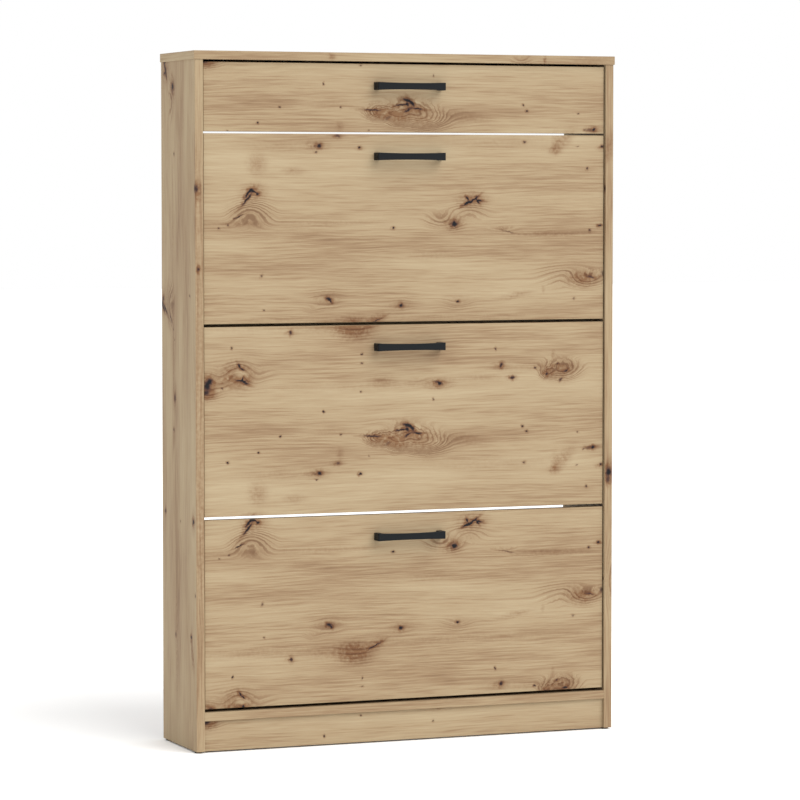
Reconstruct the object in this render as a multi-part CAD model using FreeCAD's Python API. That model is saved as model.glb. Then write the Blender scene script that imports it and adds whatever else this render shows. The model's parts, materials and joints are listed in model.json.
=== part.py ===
import FreeCAD, Part
import math
import os

# Shoe cabinet: a shallow carcass of coated board with one drawer on top and three flaps that tilt
# forwards on moulded side plates. Millimetres, +Z up, +Y towards the wall. The origin is on the floor,
# in the middle of the width and of the whole depth, handles included.

# ---- Driving dimensions -------------------------------------------------------------------------

# Carcass
WIDTH = 846.0                 # over the side panels
DEPTH = 196.0                 # side panels, front edge to back edge
BOARD = 16.0                  # coated board of the carcass and the fronts
BACK_BOARD = 3.0              # white hardboard behind and under the drawer
GLIDE_HEIGHT = 3.0            # the side panels stand this far off the floor
TOP_OVERHANG = 2.0            # top board past the side panels, at both sides and at the front
PLINTH_HEIGHT = 56.5
PLINTH_SETBACK = 6.0
EDGE_RADIUS = 1.0             # edge banding, rounded over
REBATE_WIDTH = 9.0            # step at the back of the side panels that takes the back boards
BACK_EDGE_GAP = 0.5           # play round each back board in its step

# Fronts
FLAP_HEIGHT = 351.0
DRAWER_FRONT_HEIGHT = 127.5
FRONT_SIDE_GAP = 2.0
FRONT_RECESS = 5.0            # fronts behind the side panels' front edges
SWING_PLAY = 1.25             # under each flap's bottom edge at the lowest point of its swing
DRAWER_GAP = 3.5
TOP_GAP = 4.0
FLAP_NAMES = ("bottom", "middle", "top")

# Air gaps at the back, level with the open gaps between two fronts
VENT_HEIGHT = 60.0
VENT_DROP = 8.0               # middle of an air gap below the middle of its front gap

# Flap hinge, measured from the pivot: depth towards the wall, height upwards
FLAP_OPENING_DEG = 40.0
PIVOT_BEHIND_FRONT = 7.0      # behind the flap's inner face
PIVOT_HEIGHT = 60.0           # above the flap's bottom edge
PIVOT_RADIUS = 4.0
PIVOT_PLAY = 0.06
PLATE_THICKNESS = 4.0
PLATE_FROM_SIDE = 11.0        # outer face of a side plate to the carcass side
PLATE_REAR_RISE = 120.0       # rear edge of a side plate above the pivot
FLANGE_WIDTH = 20.0
FLANGE_THICKNESS = 3.0
FLANGE_TOP = 190.0
STOP_ORBIT = 110.0            # stop stud to pivot
STOP_ANGLE_DEG = 70.0         # stop stud above the horizontal, seen from the pivot
STOP_RADIUS = 3.0
STOP_PLAY = 0.5
ARM_HALF_WIDTH = 6.5
ARM_THICKNESS = 3.0
BOSS_LENGTH = 8.0
BACK_CLEARANCE = 3.0          # swinging insert to the back boards

# Flap insert
INSERT_BOARD = 12.0
INSERT_BOTTOM = 57.0          # below the pivot
RAIL_HEIGHT = 60.0
RAIL_INSET = 4.0              # rail behind the plates' rear edges
FLOOR_REAR_INSET = 2.0
SHELF_UNDER_INSERT = 2.0      # middle shelf below the insert above it
SHELF_BEHIND_SWING = 1.3      # middle shelf's front edge behind the swinging bottom edge

# Drawer
DRAWER_SIDE = 12.0            # boards of the drawer box
DRAWER_SIDE_HEIGHT = 90.0
DRAWER_REAR_PLAY = 12.0       # drawer sides to the back board
DRAWER_TO_CARCASS = 7.0
DRAWER_LIFT = 6.5             # drawer sides above the bottom edge of the front
DRAWER_KEEP = 40.0            # of the drawer's length still inside at full travel
DRAWER_BACK_INSET = 2.0
DRAWER_BACK_DROP = 7.0        # drawer back's top edge below the sides' top edges
BACK_SCREW_LIFT = 5.0         # lower screws of the drawer back above the drawer floor
GROOVE_DEPTH = 6.5
GROOVE_HEIGHT = 17.0
GROOVE_LIFT = 36.0            # above the bottom edges of the drawer sides
GUIDE_HEIGHT = 16.0
GUIDE_PLAY = 0.5
GUIDE_TOP_PLAY = 0.3
GUIDE_FRONT_PLAY = 3.0        # guides behind the drawer front's inner face
GUIDE_REAR_PLAY = 3.0         # guides to the back board
STOP_BLOCK = (5.5, 10.0, 12.0)
STOP_LUG_THICKNESS = 6.0
STOP_GAP = 0.3
FLOOR_GROOVE = 6.0
FLOOR_GROOVE_LIFT = 8.0
FLOOR_PLAY = 0.3

# Handles
HANDLE_LENGTH = 137.0
HANDLE_HOLES = 128.0
HANDLE_END_HEIGHT = 14.5
HANDLE_MIDDLE_HEIGHT = 12.0
HANDLE_END_REACH = 22.5
HANDLE_REACH = 25.0
HANDLE_LEG = 10.5
HANDLE_GRIP = 5.0
HANDLE_DROP = 41.5            # centre below the front's top edge
HANDLE_ROUND = 0.8
HANDLE_CORNER = 3.0            # outer corners of its plan

# Hardware
GLIDE_RADIUS = 7.7
GLIDE_PIN = (1.2, 12.0)
GLIDE_INSET = 15.0
BRACKET = (26.0, 25.0, 30.0, 2.0)   # width, depth under the top board, height, steel thickness
BRACKET_SPACING = 600.0
BRACKET_HOLE_RADIUS = 2.75
DOWEL_RADIUS = 4.0
DOWEL_IN_FACE = 10.0
DOWEL_IN_END = 20.0
HOLE_PLAY = 0.05
HOLE_EXTRA = 0.5              # holes are this much deeper than what sits in them
NAIL = (0.7, 18.0, 2.5, 0.8)        # shank radius, length, head radius, head height
NAIL_PITCH = 110.0
NAIL_EDGE = 4.0

# ---- Levels and planes worked out from them -----------------------------------------------------

INNER = WIDTH / 2 - BOARD                       # half the clear width of the carcass
FRONT_HALF = INNER - FRONT_SIDE_GAP             # half the width of a front
FRONT_Y = -(DEPTH - (HANDLE_REACH - FRONT_RECESS)) / 2
BACK_Y = FRONT_Y + DEPTH
SHELF_REAR_Y = BACK_Y - BACK_BOARD
FACE_Y = FRONT_Y + FRONT_RECESS                 # outer face of every front
INNER_FACE_Y = FACE_Y + BOARD
PIVOT_Y = INNER_FACE_Y + PIVOT_BEHIND_FRONT
FLAP_GAP = math.hypot(PIVOT_Y - FACE_Y, PIVOT_HEIGHT) - PIVOT_HEIGHT + SWING_PLAY

PLINTH_TOP = GLIDE_HEIGHT + PLINTH_HEIGHT
BOTTOM_SHELF_TOP = PLINTH_TOP + BOARD
FLAP_BOTTOMS = {
    name: BOTTOM_SHELF_TOP + FLAP_GAP + index * (FLAP_HEIGHT + FLAP_GAP)
    for index, name in enumerate(FLAP_NAMES)
}
DRAWER_FRONT_BOTTOM = FLAP_BOTTOMS["top"] + FLAP_HEIGHT + DRAWER_GAP
SIDE_TOP = DRAWER_FRONT_BOTTOM + DRAWER_FRONT_HEIGHT + TOP_GAP
HEIGHT = SIDE_TOP + BOARD

SWING_REACH = math.hypot(PIVOT_BEHIND_FRONT, PIVOT_HEIGHT)
SWING_ANGLE = math.atan2(PIVOT_BEHIND_FRONT, PIVOT_HEIGHT)
SWING_BACK_Y = PIVOT_Y + SWING_REACH * math.sin(math.radians(FLAP_OPENING_DEG) - SWING_ANGLE)
PLATE_REACH = SHELF_REAR_Y - BACK_CLEARANCE - PIVOT_Y
PLATE_TOP_RADIUS = math.hypot(PLATE_REACH, PLATE_REAR_RISE)
PLATE_OUTER_X = INNER - PLATE_FROM_SIDE
PLATE_INNER_X = PLATE_OUTER_X - PLATE_THICKNESS
INSERT_TOP = INSERT_BOARD - INSERT_BOTTOM       # insert floor's upper face, from the pivot
MIDDLE_SHELF_TOP = FLAP_BOTTOMS["top"] + PIVOT_HEIGHT - INSERT_BOTTOM - SHELF_UNDER_INSERT
MIDDLE_SHELF_Y = SWING_BACK_Y + SHELF_BEHIND_SWING

DRAWER_X = INNER - DRAWER_TO_CARCASS            # outer face of a drawer side
DRAWER_BOTTOM = DRAWER_FRONT_BOTTOM + DRAWER_LIFT
DRAWER_TOP = DRAWER_BOTTOM + DRAWER_SIDE_HEIGHT
DRAWER_REAR_Y = SHELF_REAR_Y - DRAWER_REAR_PLAY
DRAWER_TRAVEL = DRAWER_REAR_Y - INNER_FACE_Y - DRAWER_KEEP
GUIDE_START_Y = INNER_FACE_Y + GUIDE_FRONT_PLAY
GUIDE_END_Y = SHELF_REAR_Y - GUIDE_REAR_PLAY
GROOVE_BOTTOM = DRAWER_BOTTOM + GROOVE_LIFT
GROOVE_TOP = GROOVE_BOTTOM + GROOVE_HEIGHT
FLOOR_BOTTOM = DRAWER_BOTTOM + FLOOR_GROOVE_LIFT

solids = {}
holes = {}


# ---- Small helpers ------------------------------------------------------------------------------

def vector(x, y, z):
    return FreeCAD.Vector(x, y, z)


def add(node, *shapes):
    """File solids under a node's name."""
    solids.setdefault(node, []).extend(shapes)


def drill(node, *shapes):
    """File cutting solids, which the named node loses when it is finished."""
    holes.setdefault(node, []).extend(shapes)


def block(x0, x1, y0, y1, z0, z1):
    return Part.makeBox(x1 - x0, y1 - y0, z1 - z0, vector(x0, y0, z0))


def rod(point, direction, radius, length):
    return Part.makeCylinder(radius, length, point, direction)


def rounded(shape, radius, wanted):
    """Round the edges whose middle point the test picks."""
    return shape.makeFillet(radius, [edge for edge in shape.Edges if wanted(edge.CenterOfMass)])


def mirrored(shape):
    """The same piece for the other side of the cabinet."""
    return shape.mirror(vector(0, 0, 0), vector(1, 0, 0))


def placed(shape, point, direction):
    """A copy of a piece drawn along +Z, moved to a point and turned to a direction."""
    copy = shape.copy()
    turn = FreeCAD.Rotation(vector(0, 0, 1), direction)
    copy.Placement = FreeCAD.Placement(point, turn).multiply(copy.Placement)
    return copy


def upright(shape, x, pivot_z):
    """Stand up a piece drawn flat as depth, height, thickness, at a flap's pivot."""
    copy = shape.copy()
    turn = FreeCAD.Rotation(vector(1, 1, 1), 120)
    copy.Placement = FreeCAD.Placement(vector(x, PIVOT_Y, pivot_z), turn).multiply(copy.Placement)
    return copy


def steps(first, last, pitch):
    """Evenly spread places from first to last, no further apart than the pitch."""
    count = max(1, math.ceil((last - first) / pitch))
    return [first + (last - first) * i / count for i in range(count + 1)]


# ---- Fasteners ----------------------------------------------------------------------------------

class Screw:
    """Pan-head screw with a cross recess, drawn along +Z with its head below the origin."""

    def __init__(self, radius, length, head_radius=3.5, head_height=2.0, tip=3.0):
        self.radius = radius
        self.length = length
        self.head_radius = head_radius
        self.head_height = head_height
        self.tip = tip
        self.solid = self.build()

    def build(self):
        crown = self.head_height * 0.45
        outline = [
            vector(0, 0, -self.head_height),
            vector(self.head_radius - crown, 0, -self.head_height),
            vector(self.head_radius, 0, crown - self.head_height),
            vector(self.head_radius, 0, 0),
            vector(self.radius, 0, 0),
            vector(self.radius, 0, self.length - self.tip),
            vector(self.radius * 0.3, 0, self.length),
            vector(0, 0, self.length),
            vector(0, 0, -self.head_height),
        ]
        body = Part.Face(Part.makePolygon(outline)).revolve(vector(0, 0, 0), vector(0, 0, 1), 360)
        arm = self.head_radius * 0.6
        slit = 0.4
        deep = self.head_height * 0.6
        floor = deep - self.head_height
        recess = block(-arm, arm, -slit, slit, -self.head_height - 1, floor)
        recess = recess.fuse(block(-slit, slit, -arm, arm, -self.head_height - 1, floor))
        return body.cut(recess)

    def drive(self, node, point, direction, *through):
        """Put the screw's head face at a point and drill what it passes through."""
        add(node, placed(self.solid, point, direction))
        start = point - direction
        hole = rod(start, direction, self.radius + HOLE_PLAY, self.length + HOLE_EXTRA + 1)
        drill_all(hole, through)


class Cam:
    """Cam disc and bolt that pull the end of one board against the face of another."""

    def __init__(self, disc_radius, disc_depth, board, shaft_radius, setback=24.0):
        self.disc_radius = disc_radius
        self.disc_depth = disc_depth
        self.board = board
        self.shaft_radius = shaft_radius
        self.setback = setback
        self.head_radius = shaft_radius + 0.4
        self.thread_radius = 2.5
        self.thread_length = 10.5

    def join(self, bolts, discs, face_board, end_board, point, inward, cam_side):
        """Bolt in face_board at a point, its shaft inward in end_board, the disc at cam_side."""
        centre = point + inward * self.setback
        shaft = rod(point, inward, self.shaft_radius, self.setback)
        head = rod(centre - inward * 3, inward, self.head_radius, 6.0)
        thread = rod(point, inward * -1, self.thread_radius, self.thread_length)
        add(bolts, thread.fuse([shaft, head]).removeSplitter())
        mouth = centre + cam_side * (self.board / 2)
        disc = rod(mouth - cam_side * HOLE_EXTRA, cam_side * -1, self.disc_radius, self.disc_depth)
        way_in = rod(centre - inward * (self.disc_radius + 2), inward, self.head_radius + 0.2,
                     self.disc_radius + 6)
        slot = rod(mouth + cam_side, cam_side * -1, 1.6, 3.0)
        add(discs, disc.cut([way_in, slot]))
        drill(face_board, rod(point + inward, inward * -1, self.thread_radius + HOLE_PLAY,
                              self.thread_length + HOLE_EXTRA + 1))
        drill(end_board, rod(point - inward, inward, self.head_radius + 0.3, self.setback + 1))
        drill(end_board, rod(mouth + cam_side, cam_side * -1, self.disc_radius + HOLE_PLAY,
                             self.disc_depth + 2 * HOLE_EXTRA + 1))


def drill_all(hole, nodes):
    for node in nodes:
        drill(node, hole)


def dowel(node, face_board, end_board, point, inward):
    """Wood dowel across the joint at a point, with its longer half in the end of a board."""
    start = point - inward * DOWEL_IN_FACE
    length = DOWEL_IN_FACE + DOWEL_IN_END
    pin = rod(start, inward, DOWEL_RADIUS, length)
    bore = rod(start - inward * HOLE_EXTRA, inward, DOWEL_RADIUS + HOLE_PLAY, length + 2 * HOLE_EXTRA)
    add(node, pin)
    drill_all(bore, (face_board, end_board))


def nail(point, *through):
    """Nail into the back edges, its head flush with the back board."""
    radius, length, head_radius, head_height = NAIL
    ahead = vector(0, -1, 0)
    shank = rod(point, ahead, radius, length)
    add("back_nails", shank.fuse(rod(point, ahead, head_radius, head_height)).removeSplitter())
    outside = point - ahead
    bore = rod(outside, ahead, radius + HOLE_PLAY, length + HOLE_EXTRA + 1)
    sink = rod(outside, ahead, head_radius + HOLE_PLAY, head_height + 1)
    drill_all(bore, through)
    drill(through[0], sink)


CARCASS_CAM = Cam(7.4, 12.0, BOARD, 3.0)
DRAWER_CAM = Cam(5.9, 9.0, DRAWER_SIDE, 2.5)
SHORT_SCREW = Screw(1.75, 13.0)
GUIDE_SCREW = Screw(1.75, 21.0)
BOX_SCREW = Screw(1.75, 32.0)
INSERT_SCREW = Screw(1.75, 26.0, head_height=1.8)
HANDLE_SCREW = Screw(2.0, 24.0, head_radius=4.0, tip=0.5)


# ---- Carcass ------------------------------------------------------------------------------------

def carcass_boards():
    """Side panels, top, shelves and plinth."""
    side = block(INNER, WIDTH / 2, FRONT_Y, BACK_Y, GLIDE_HEIGHT, SIDE_TOP)
    side = side.cut(block(INNER - 1, INNER + REBATE_WIDTH, SHELF_REAR_Y, BACK_Y + 1, 0, HEIGHT))
    middle_z = (GLIDE_HEIGHT + SIDE_TOP) / 2
    side = rounded(side, EDGE_RADIUS, lambda p: p.y < FRONT_Y + 0.1 and abs(p.z - middle_z) < 1)
    add("side_panel_right", side)
    add("side_panel_left", mirrored(side))

    half = WIDTH / 2 + TOP_OVERHANG
    lip = FRONT_Y - TOP_OVERHANG
    top = block(-half, half, lip, BACK_Y, SIDE_TOP, HEIGHT)
    top = rounded(top, EDGE_RADIUS, lambda p: p.y < lip + 0.1 or (abs(p.x) > half - 0.1 and p.y < BACK_Y - 1))
    add("top_board", top)

    shelf = block(-INNER, INNER, FRONT_Y, SHELF_REAR_Y, PLINTH_TOP, BOTTOM_SHELF_TOP)
    add("bottom_shelf", rounded(shelf, EDGE_RADIUS, lambda p: p.y < FRONT_Y + 0.1 and abs(p.x) < 1))
    add("middle_shelf", block(-INNER, INNER, MIDDLE_SHELF_Y, SHELF_REAR_Y,
                              MIDDLE_SHELF_TOP - BOARD, MIDDLE_SHELF_TOP))
    plinth_y = FRONT_Y + PLINTH_SETBACK
    add("plinth", block(-INNER, INNER, plinth_y, plinth_y + BOARD, GLIDE_HEIGHT, PLINTH_TOP))


def carcass_joints():
    """Cam fittings and dowels between the boards."""
    up = vector(0, 0, 1)
    quarter = DEPTH / 4
    for sign, side in ((1, "side_panel_right"), (-1, "side_panel_left")):
        inwards = vector(-sign, 0, 0)
        middle_x = sign * (INNER + BOARD / 2)
        for offset, fitting in ((-1.5, "cam"), (-0.75, "dowel"), (0.75, "dowel"), (1.5, "cam")):
            point = vector(middle_x, FRONT_Y + DEPTH / 2 + offset * quarter, SIDE_TOP)
            if fitting == "cam":
                CARCASS_CAM.join("cam_bolts", "cam_discs", "top_board", side, point, -up, inwards)
            else:
                dowel("wood_dowels", "top_board", side, point, -up)
        shelves = (
            ("bottom_shelf", FRONT_Y, BOTTOM_SHELF_TOP - BOARD / 2),
            ("middle_shelf", MIDDLE_SHELF_Y, MIDDLE_SHELF_TOP - BOARD / 2),
        )
        for shelf, start, z in shelves:
            span = SHELF_REAR_Y - start
            for share, fitting in ((0.2, "cam"), (0.5, "dowel"), (0.8, "cam")):
                point = vector(sign * INNER, start + share * span, z)
                if fitting == "cam":
                    CARCASS_CAM.join("cam_bolts", "cam_discs", side, shelf, point, inwards, -up)
                else:
                    dowel("wood_dowels", side, shelf, point, inwards)
        plinth_y = FRONT_Y + PLINTH_SETBACK + BOARD / 2
        low = GLIDE_HEIGHT + PLINTH_HEIGHT * 0.3
        high = GLIDE_HEIGHT + PLINTH_HEIGHT * 0.7
        dowel("wood_dowels", side, "plinth", vector(sign * INNER, plinth_y, high), inwards)
        CARCASS_CAM.join("cam_bolts", "cam_discs", side, "plinth",
                         vector(sign * INNER, plinth_y, low), inwards, vector(0, 1, 0))
        dowel("wood_dowels", "bottom_shelf", "plinth",
              vector(sign * INNER / 2, plinth_y, PLINTH_TOP), -up)


def back_boards():
    """Four hardboard panels with air gaps level with the open gaps between the fronts."""
    lower_gap = FLAP_BOTTOMS["middle"] - FLAP_GAP / 2 - VENT_DROP
    upper_gap = DRAWER_FRONT_BOTTOM - DRAWER_GAP / 2 - VENT_DROP
    half_vent = VENT_HEIGHT / 2
    shelf_z = MIDDLE_SHELF_TOP - BOARD / 2
    low_z = BOTTOM_SHELF_TOP - BOARD / 2
    panels = {
        "back_board_bottom": (low_z - BOARD / 2 + 2, lower_gap - half_vent, (low_z,)),
        "back_board_middle": (lower_gap + half_vent, shelf_z - BACK_EDGE_GAP, (shelf_z - NAIL_EDGE,)),
        "back_board_top": (shelf_z + BACK_EDGE_GAP, upper_gap - half_vent, (shelf_z + NAIL_EDGE,)),
        "back_board_drawer": (upper_gap + half_vent, SIDE_TOP - BACK_EDGE_GAP, ()),
    }
    half = INNER + REBATE_WIDTH - BACK_EDGE_GAP
    edge_x = INNER + REBATE_WIDTH / 2
    for node, (bottom, top, shelf_rows) in panels.items():
        add(node, block(-half, half, SHELF_REAR_Y, BACK_Y, bottom, top))
        for z in steps(bottom + 3 * NAIL_EDGE, top - 3 * NAIL_EDGE, NAIL_PITCH):
            nail(vector(edge_x, BACK_Y, z), node, "side_panel_right")
            nail(vector(-edge_x, BACK_Y, z), node, "side_panel_left")
        for z in shelf_rows:
            shelf = "bottom_shelf" if node == "back_board_bottom" else "middle_shelf"
            for x in steps(NAIL_PITCH * 1.5 - INNER, INNER - NAIL_PITCH * 1.5, NAIL_PITCH * 1.5):
                nail(vector(x, BACK_Y, z), node, shelf)


def floor_glides():
    pin_radius, pin_length = GLIDE_PIN
    for sign, side in ((1, "side_panel_right"), (-1, "side_panel_left")):
        for y in (FRONT_Y + GLIDE_INSET, BACK_Y - GLIDE_INSET):
            foot = rod(vector(sign * (INNER + BOARD / 2), y, 0), vector(0, 0, 1), GLIDE_RADIUS, GLIDE_HEIGHT)
            foot = rounded(foot, EDGE_RADIUS, lambda p: p.z < 0.1)
            top = vector(sign * (INNER + BOARD / 2), y, GLIDE_HEIGHT)
            pin = rod(top, vector(0, 0, 1), pin_radius, pin_length)
            add("floor_glides", foot.fuse(pin))
            drill(side, rod(top - vector(0, 0, 1), vector(0, 0, 1), pin_radius + HOLE_PLAY,
                            pin_length + HOLE_EXTRA + 1))


def wall_brackets():
    """Steel angles under the top board; a wall screw passes through each and the back board."""
    width, depth, height, steel = BRACKET
    for sign in (1, -1):
        x = sign * BRACKET_SPACING / 2
        arm = block(x - width / 2, x + width / 2, SHELF_REAR_Y - depth, SHELF_REAR_Y,
                    SIDE_TOP - steel, SIDE_TOP)
        leg = block(x - width / 2, x + width / 2, SHELF_REAR_Y - steel, SHELF_REAR_Y,
                    SIDE_TOP - height, SIDE_TOP)
        angle = arm.fuse(leg).removeSplitter()
        add("wall_brackets", angle)
        wall_hole = rod(vector(x, SHELF_REAR_Y - depth, SIDE_TOP - 0.6 * height), vector(0, 1, 0),
                        BRACKET_HOLE_RADIUS, depth + 2 * BACK_BOARD)
        drill_all(wall_hole, ("wall_brackets", "back_board_drawer"))
        SHORT_SCREW.drive("carcass_screws", vector(x, SHELF_REAR_Y - 0.6 * depth, SIDE_TOP - steel),
                          vector(0, 0, 1), "wall_brackets", "top_board")


def drawer_guides():
    """Plastic strips that run in the drawer's grooves, each with an end lug that stops the drawer."""
    top = GROOVE_TOP - GUIDE_TOP_PLAY
    bottom = top - GUIDE_HEIGHT
    tip = DRAWER_X - GROOVE_DEPTH + GUIDE_PLAY
    start = GUIDE_START_Y
    lug_end = DRAWER_REAR_Y - STOP_BLOCK[1] - DRAWER_TRAVEL - STOP_GAP
    strip = block(tip, INNER, start, GUIDE_END_Y, bottom, top)
    lug = block(INNER - STOP_LUG_THICKNESS, INNER, start, lug_end, bottom - STOP_BLOCK[2], bottom)
    guide = strip.fuse(lug).removeSplitter()
    add("drawer_guide_right", guide)
    add("drawer_guide_left", mirrored(guide))
    sink = GUIDE_SCREW.head_height + 1
    z = (top + bottom) / 2
    for sign, side, node in ((1, "side_panel_right", "drawer_guide_right"),
                             (-1, "side_panel_left", "drawer_guide_left")):
        for share in (0.06, 0.5, 0.94):
            point = vector(sign * (tip + sink), start + share * (GUIDE_END_Y - start), z)
            outwards = vector(sign, 0, 0)
            GUIDE_SCREW.drive("carcass_screws", point, outwards, node, side)
            drill(node, rod(point, -outwards, GUIDE_SCREW.head_radius + 0.3, sink + 1))


# ---- Drawer -------------------------------------------------------------------------------------

def drawer():
    """Drawer front on a box of thinner boards with a hardboard floor."""
    front_top = DRAWER_FRONT_BOTTOM + DRAWER_FRONT_HEIGHT
    add("drawer_front", front_board(DRAWER_FRONT_BOTTOM, front_top))

    outer, inner = DRAWER_X, DRAWER_X - DRAWER_SIDE
    side = block(inner, outer, INNER_FACE_Y, DRAWER_REAR_Y, DRAWER_BOTTOM, DRAWER_TOP)
    groove = block(outer - GROOVE_DEPTH, outer + 1, GUIDE_START_Y - 1, DRAWER_REAR_Y + 1,
                   GROOVE_BOTTOM, GROOVE_TOP)
    floor_top = FLOOR_BOTTOM + BACK_BOARD
    channel = block(inner - 1, inner + FLOOR_GROOVE, INNER_FACE_Y - 1, DRAWER_REAR_Y + 1,
                    FLOOR_BOTTOM - FLOOR_PLAY / 2, floor_top + FLOOR_PLAY / 2)
    side = side.cut([groove, channel])
    add("drawer_side_right", side)
    add("drawer_side_left", mirrored(side))

    back_y = DRAWER_REAR_Y - DRAWER_BACK_INSET - DRAWER_SIDE
    back_top = DRAWER_TOP - DRAWER_BACK_DROP
    add("drawer_back", block(-inner, inner, back_y, back_y + DRAWER_SIDE, floor_top, back_top))

    reach = inner + FLOOR_GROOVE - FLOOR_PLAY
    front_groove = block(-reach - 1, reach + 1, INNER_FACE_Y - FLOOR_GROOVE, INNER_FACE_Y + 1,
                         FLOOR_BOTTOM - FLOOR_PLAY / 2, floor_top + FLOOR_PLAY / 2)
    drill("drawer_front", front_groove)
    add("drawer_bottom", block(-reach, reach, INNER_FACE_Y - FLOOR_GROOVE + FLOOR_PLAY,
                               back_y + DRAWER_SIDE, FLOOR_BOTTOM, floor_top))
    for x in steps(-inner * 0.75, inner * 0.75, inner * 0.75):
        SHORT_SCREW.drive("drawer_box_screws", vector(x, back_y + DRAWER_SIDE / 2, FLOOR_BOTTOM),
                          vector(0, 0, 1), "drawer_bottom", "drawer_back")

    middle_x = (outer + inner) / 2
    upper = (GROOVE_TOP + DRAWER_TOP) / 2
    cam_levels = ((FLOOR_BOTTOM + GROOVE_BOTTOM) / 2 + 1, upper)
    screw_levels = (floor_top + BACK_SCREW_LIFT, upper)
    for sign, node in ((1, "drawer_side_right"), (-1, "drawer_side_left")):
        inwards = vector(-sign, 0, 0)
        for z in cam_levels:
            DRAWER_CAM.join("drawer_cam_bolts", "drawer_cam_discs", "drawer_front", node,
                            vector(sign * middle_x, INNER_FACE_Y, z), vector(0, 1, 0), inwards)
        for z in screw_levels:
            BOX_SCREW.drive("drawer_box_screws", vector(sign * outer, back_y + DRAWER_SIDE / 2, z),
                            inwards, node, "drawer_back")
        drawer_stop(sign, node)
    handle("drawer", front_top)


def drawer_stop(sign, side):
    """Block beside the groove's rear end that meets the guide's lug at full travel."""
    thickness, length, height = STOP_BLOCK
    top = GROOVE_BOTTOM - 1
    ends = sorted((sign * DRAWER_X, sign * (DRAWER_X + thickness)))
    add("drawer_stops", block(*ends, DRAWER_REAR_Y - length, DRAWER_REAR_Y, top - height, top))
    inwards = vector(-sign, 0, 0)
    sink = SHORT_SCREW.head_height + 0.1
    point = vector(sign * (DRAWER_X + thickness - sink), DRAWER_REAR_Y - length / 2, top - height / 2)
    SHORT_SCREW.drive("drawer_box_screws", point, inwards, "drawer_stops", side)
    drill("drawer_stops", rod(point, -inwards, SHORT_SCREW.head_radius + 0.1, sink + 1))


# ---- Fronts and handles -------------------------------------------------------------------------

def front_board(bottom, top):
    """Front with its banded outer edges rounded over."""
    board = block(-FRONT_HALF, FRONT_HALF, FACE_Y, INNER_FACE_Y, bottom, top)
    return rounded(board, EDGE_RADIUS, lambda p: p.y < FACE_Y + 0.1)


def handle_solid():
    """Bow handle drawn with its feet on y = 0, reaching towards -y, its middle at the origin."""
    half = HANDLE_LENGTH / 2
    leg = half - HANDLE_LEG
    end_inner = HANDLE_END_REACH - HANDLE_GRIP
    middle_inner = HANDLE_REACH - HANDLE_GRIP
    outer = Part.Arc(vector(-half, -HANDLE_END_REACH, 0), vector(0, -HANDLE_REACH, 0),
                     vector(half, -HANDLE_END_REACH, 0)).toShape()
    inner = Part.Arc(vector(leg, -end_inner, 0), vector(0, -middle_inner, 0),
                     vector(-leg, -end_inner, 0)).toShape()
    foot = [
        Part.makePolygon([vector(half, -HANDLE_END_REACH, 0), vector(half, 0, 0), vector(leg, 0, 0),
                          vector(leg, -end_inner, 0)]),
        Part.makePolygon([vector(-leg, -end_inner, 0), vector(-leg, 0, 0), vector(-half, 0, 0),
                          vector(-half, -HANDLE_END_REACH, 0)]),
    ]
    plan = Part.Face(Part.Wire([outer, *foot[0].Edges, inner, *foot[1].Edges]))
    tall = HANDLE_END_HEIGHT
    bow = plan.extrude(vector(0, 0, tall)).translated(vector(0, 0, -tall / 2))

    rise = HANDLE_END_HEIGHT / 2
    waist = HANDLE_MIDDLE_HEIGHT / 2
    upper = Part.Arc(vector(-half, 0, rise), vector(0, 0, waist), vector(half, 0, rise)).toShape()
    lower = Part.Arc(vector(half, 0, -rise), vector(0, 0, -waist), vector(-half, 0, -rise)).toShape()
    right = Part.makeLine(vector(half, 0, rise), vector(half, 0, -rise))
    left = Part.makeLine(vector(-half, 0, -rise), vector(-half, 0, rise))
    elevation = Part.Face(Part.Wire([upper, right, lower, left]))
    waisted = elevation.extrude(vector(0, -2 * HANDLE_REACH, 0)).translated(vector(0, HANDLE_REACH / 2, 0))
    bow = bow.common(waisted).Solids[0]

    def corner(p):
        return abs(p.x) > leg + 0.1 and abs(p.y + HANDLE_END_REACH) < 0.1

    def rim(p):
        return abs(p.z) > waist / 2 and p.y < -1 and (abs(p.x) > leg + 0.1 or p.y < -middle_inner - 1)
    return rounded(rounded(bow, HANDLE_CORNER, corner), HANDLE_ROUND, rim)


def handle(name, front_top):
    """Handle on a front, held by two screws from inside."""
    z = front_top - HANDLE_DROP
    node = f"{name}_handle"
    front = f"{name}_front"
    add(node, handle_solid().translated(vector(0, FACE_Y, z)))
    for x in (-HANDLE_HOLES / 2, HANDLE_HOLES / 2):
        HANDLE_SCREW.drive(f"{name}_handle_screws", vector(x, INNER_FACE_Y, z), vector(0, -1, 0),
                           front, node)


# ---- Flaps --------------------------------------------------------------------------------------

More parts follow.
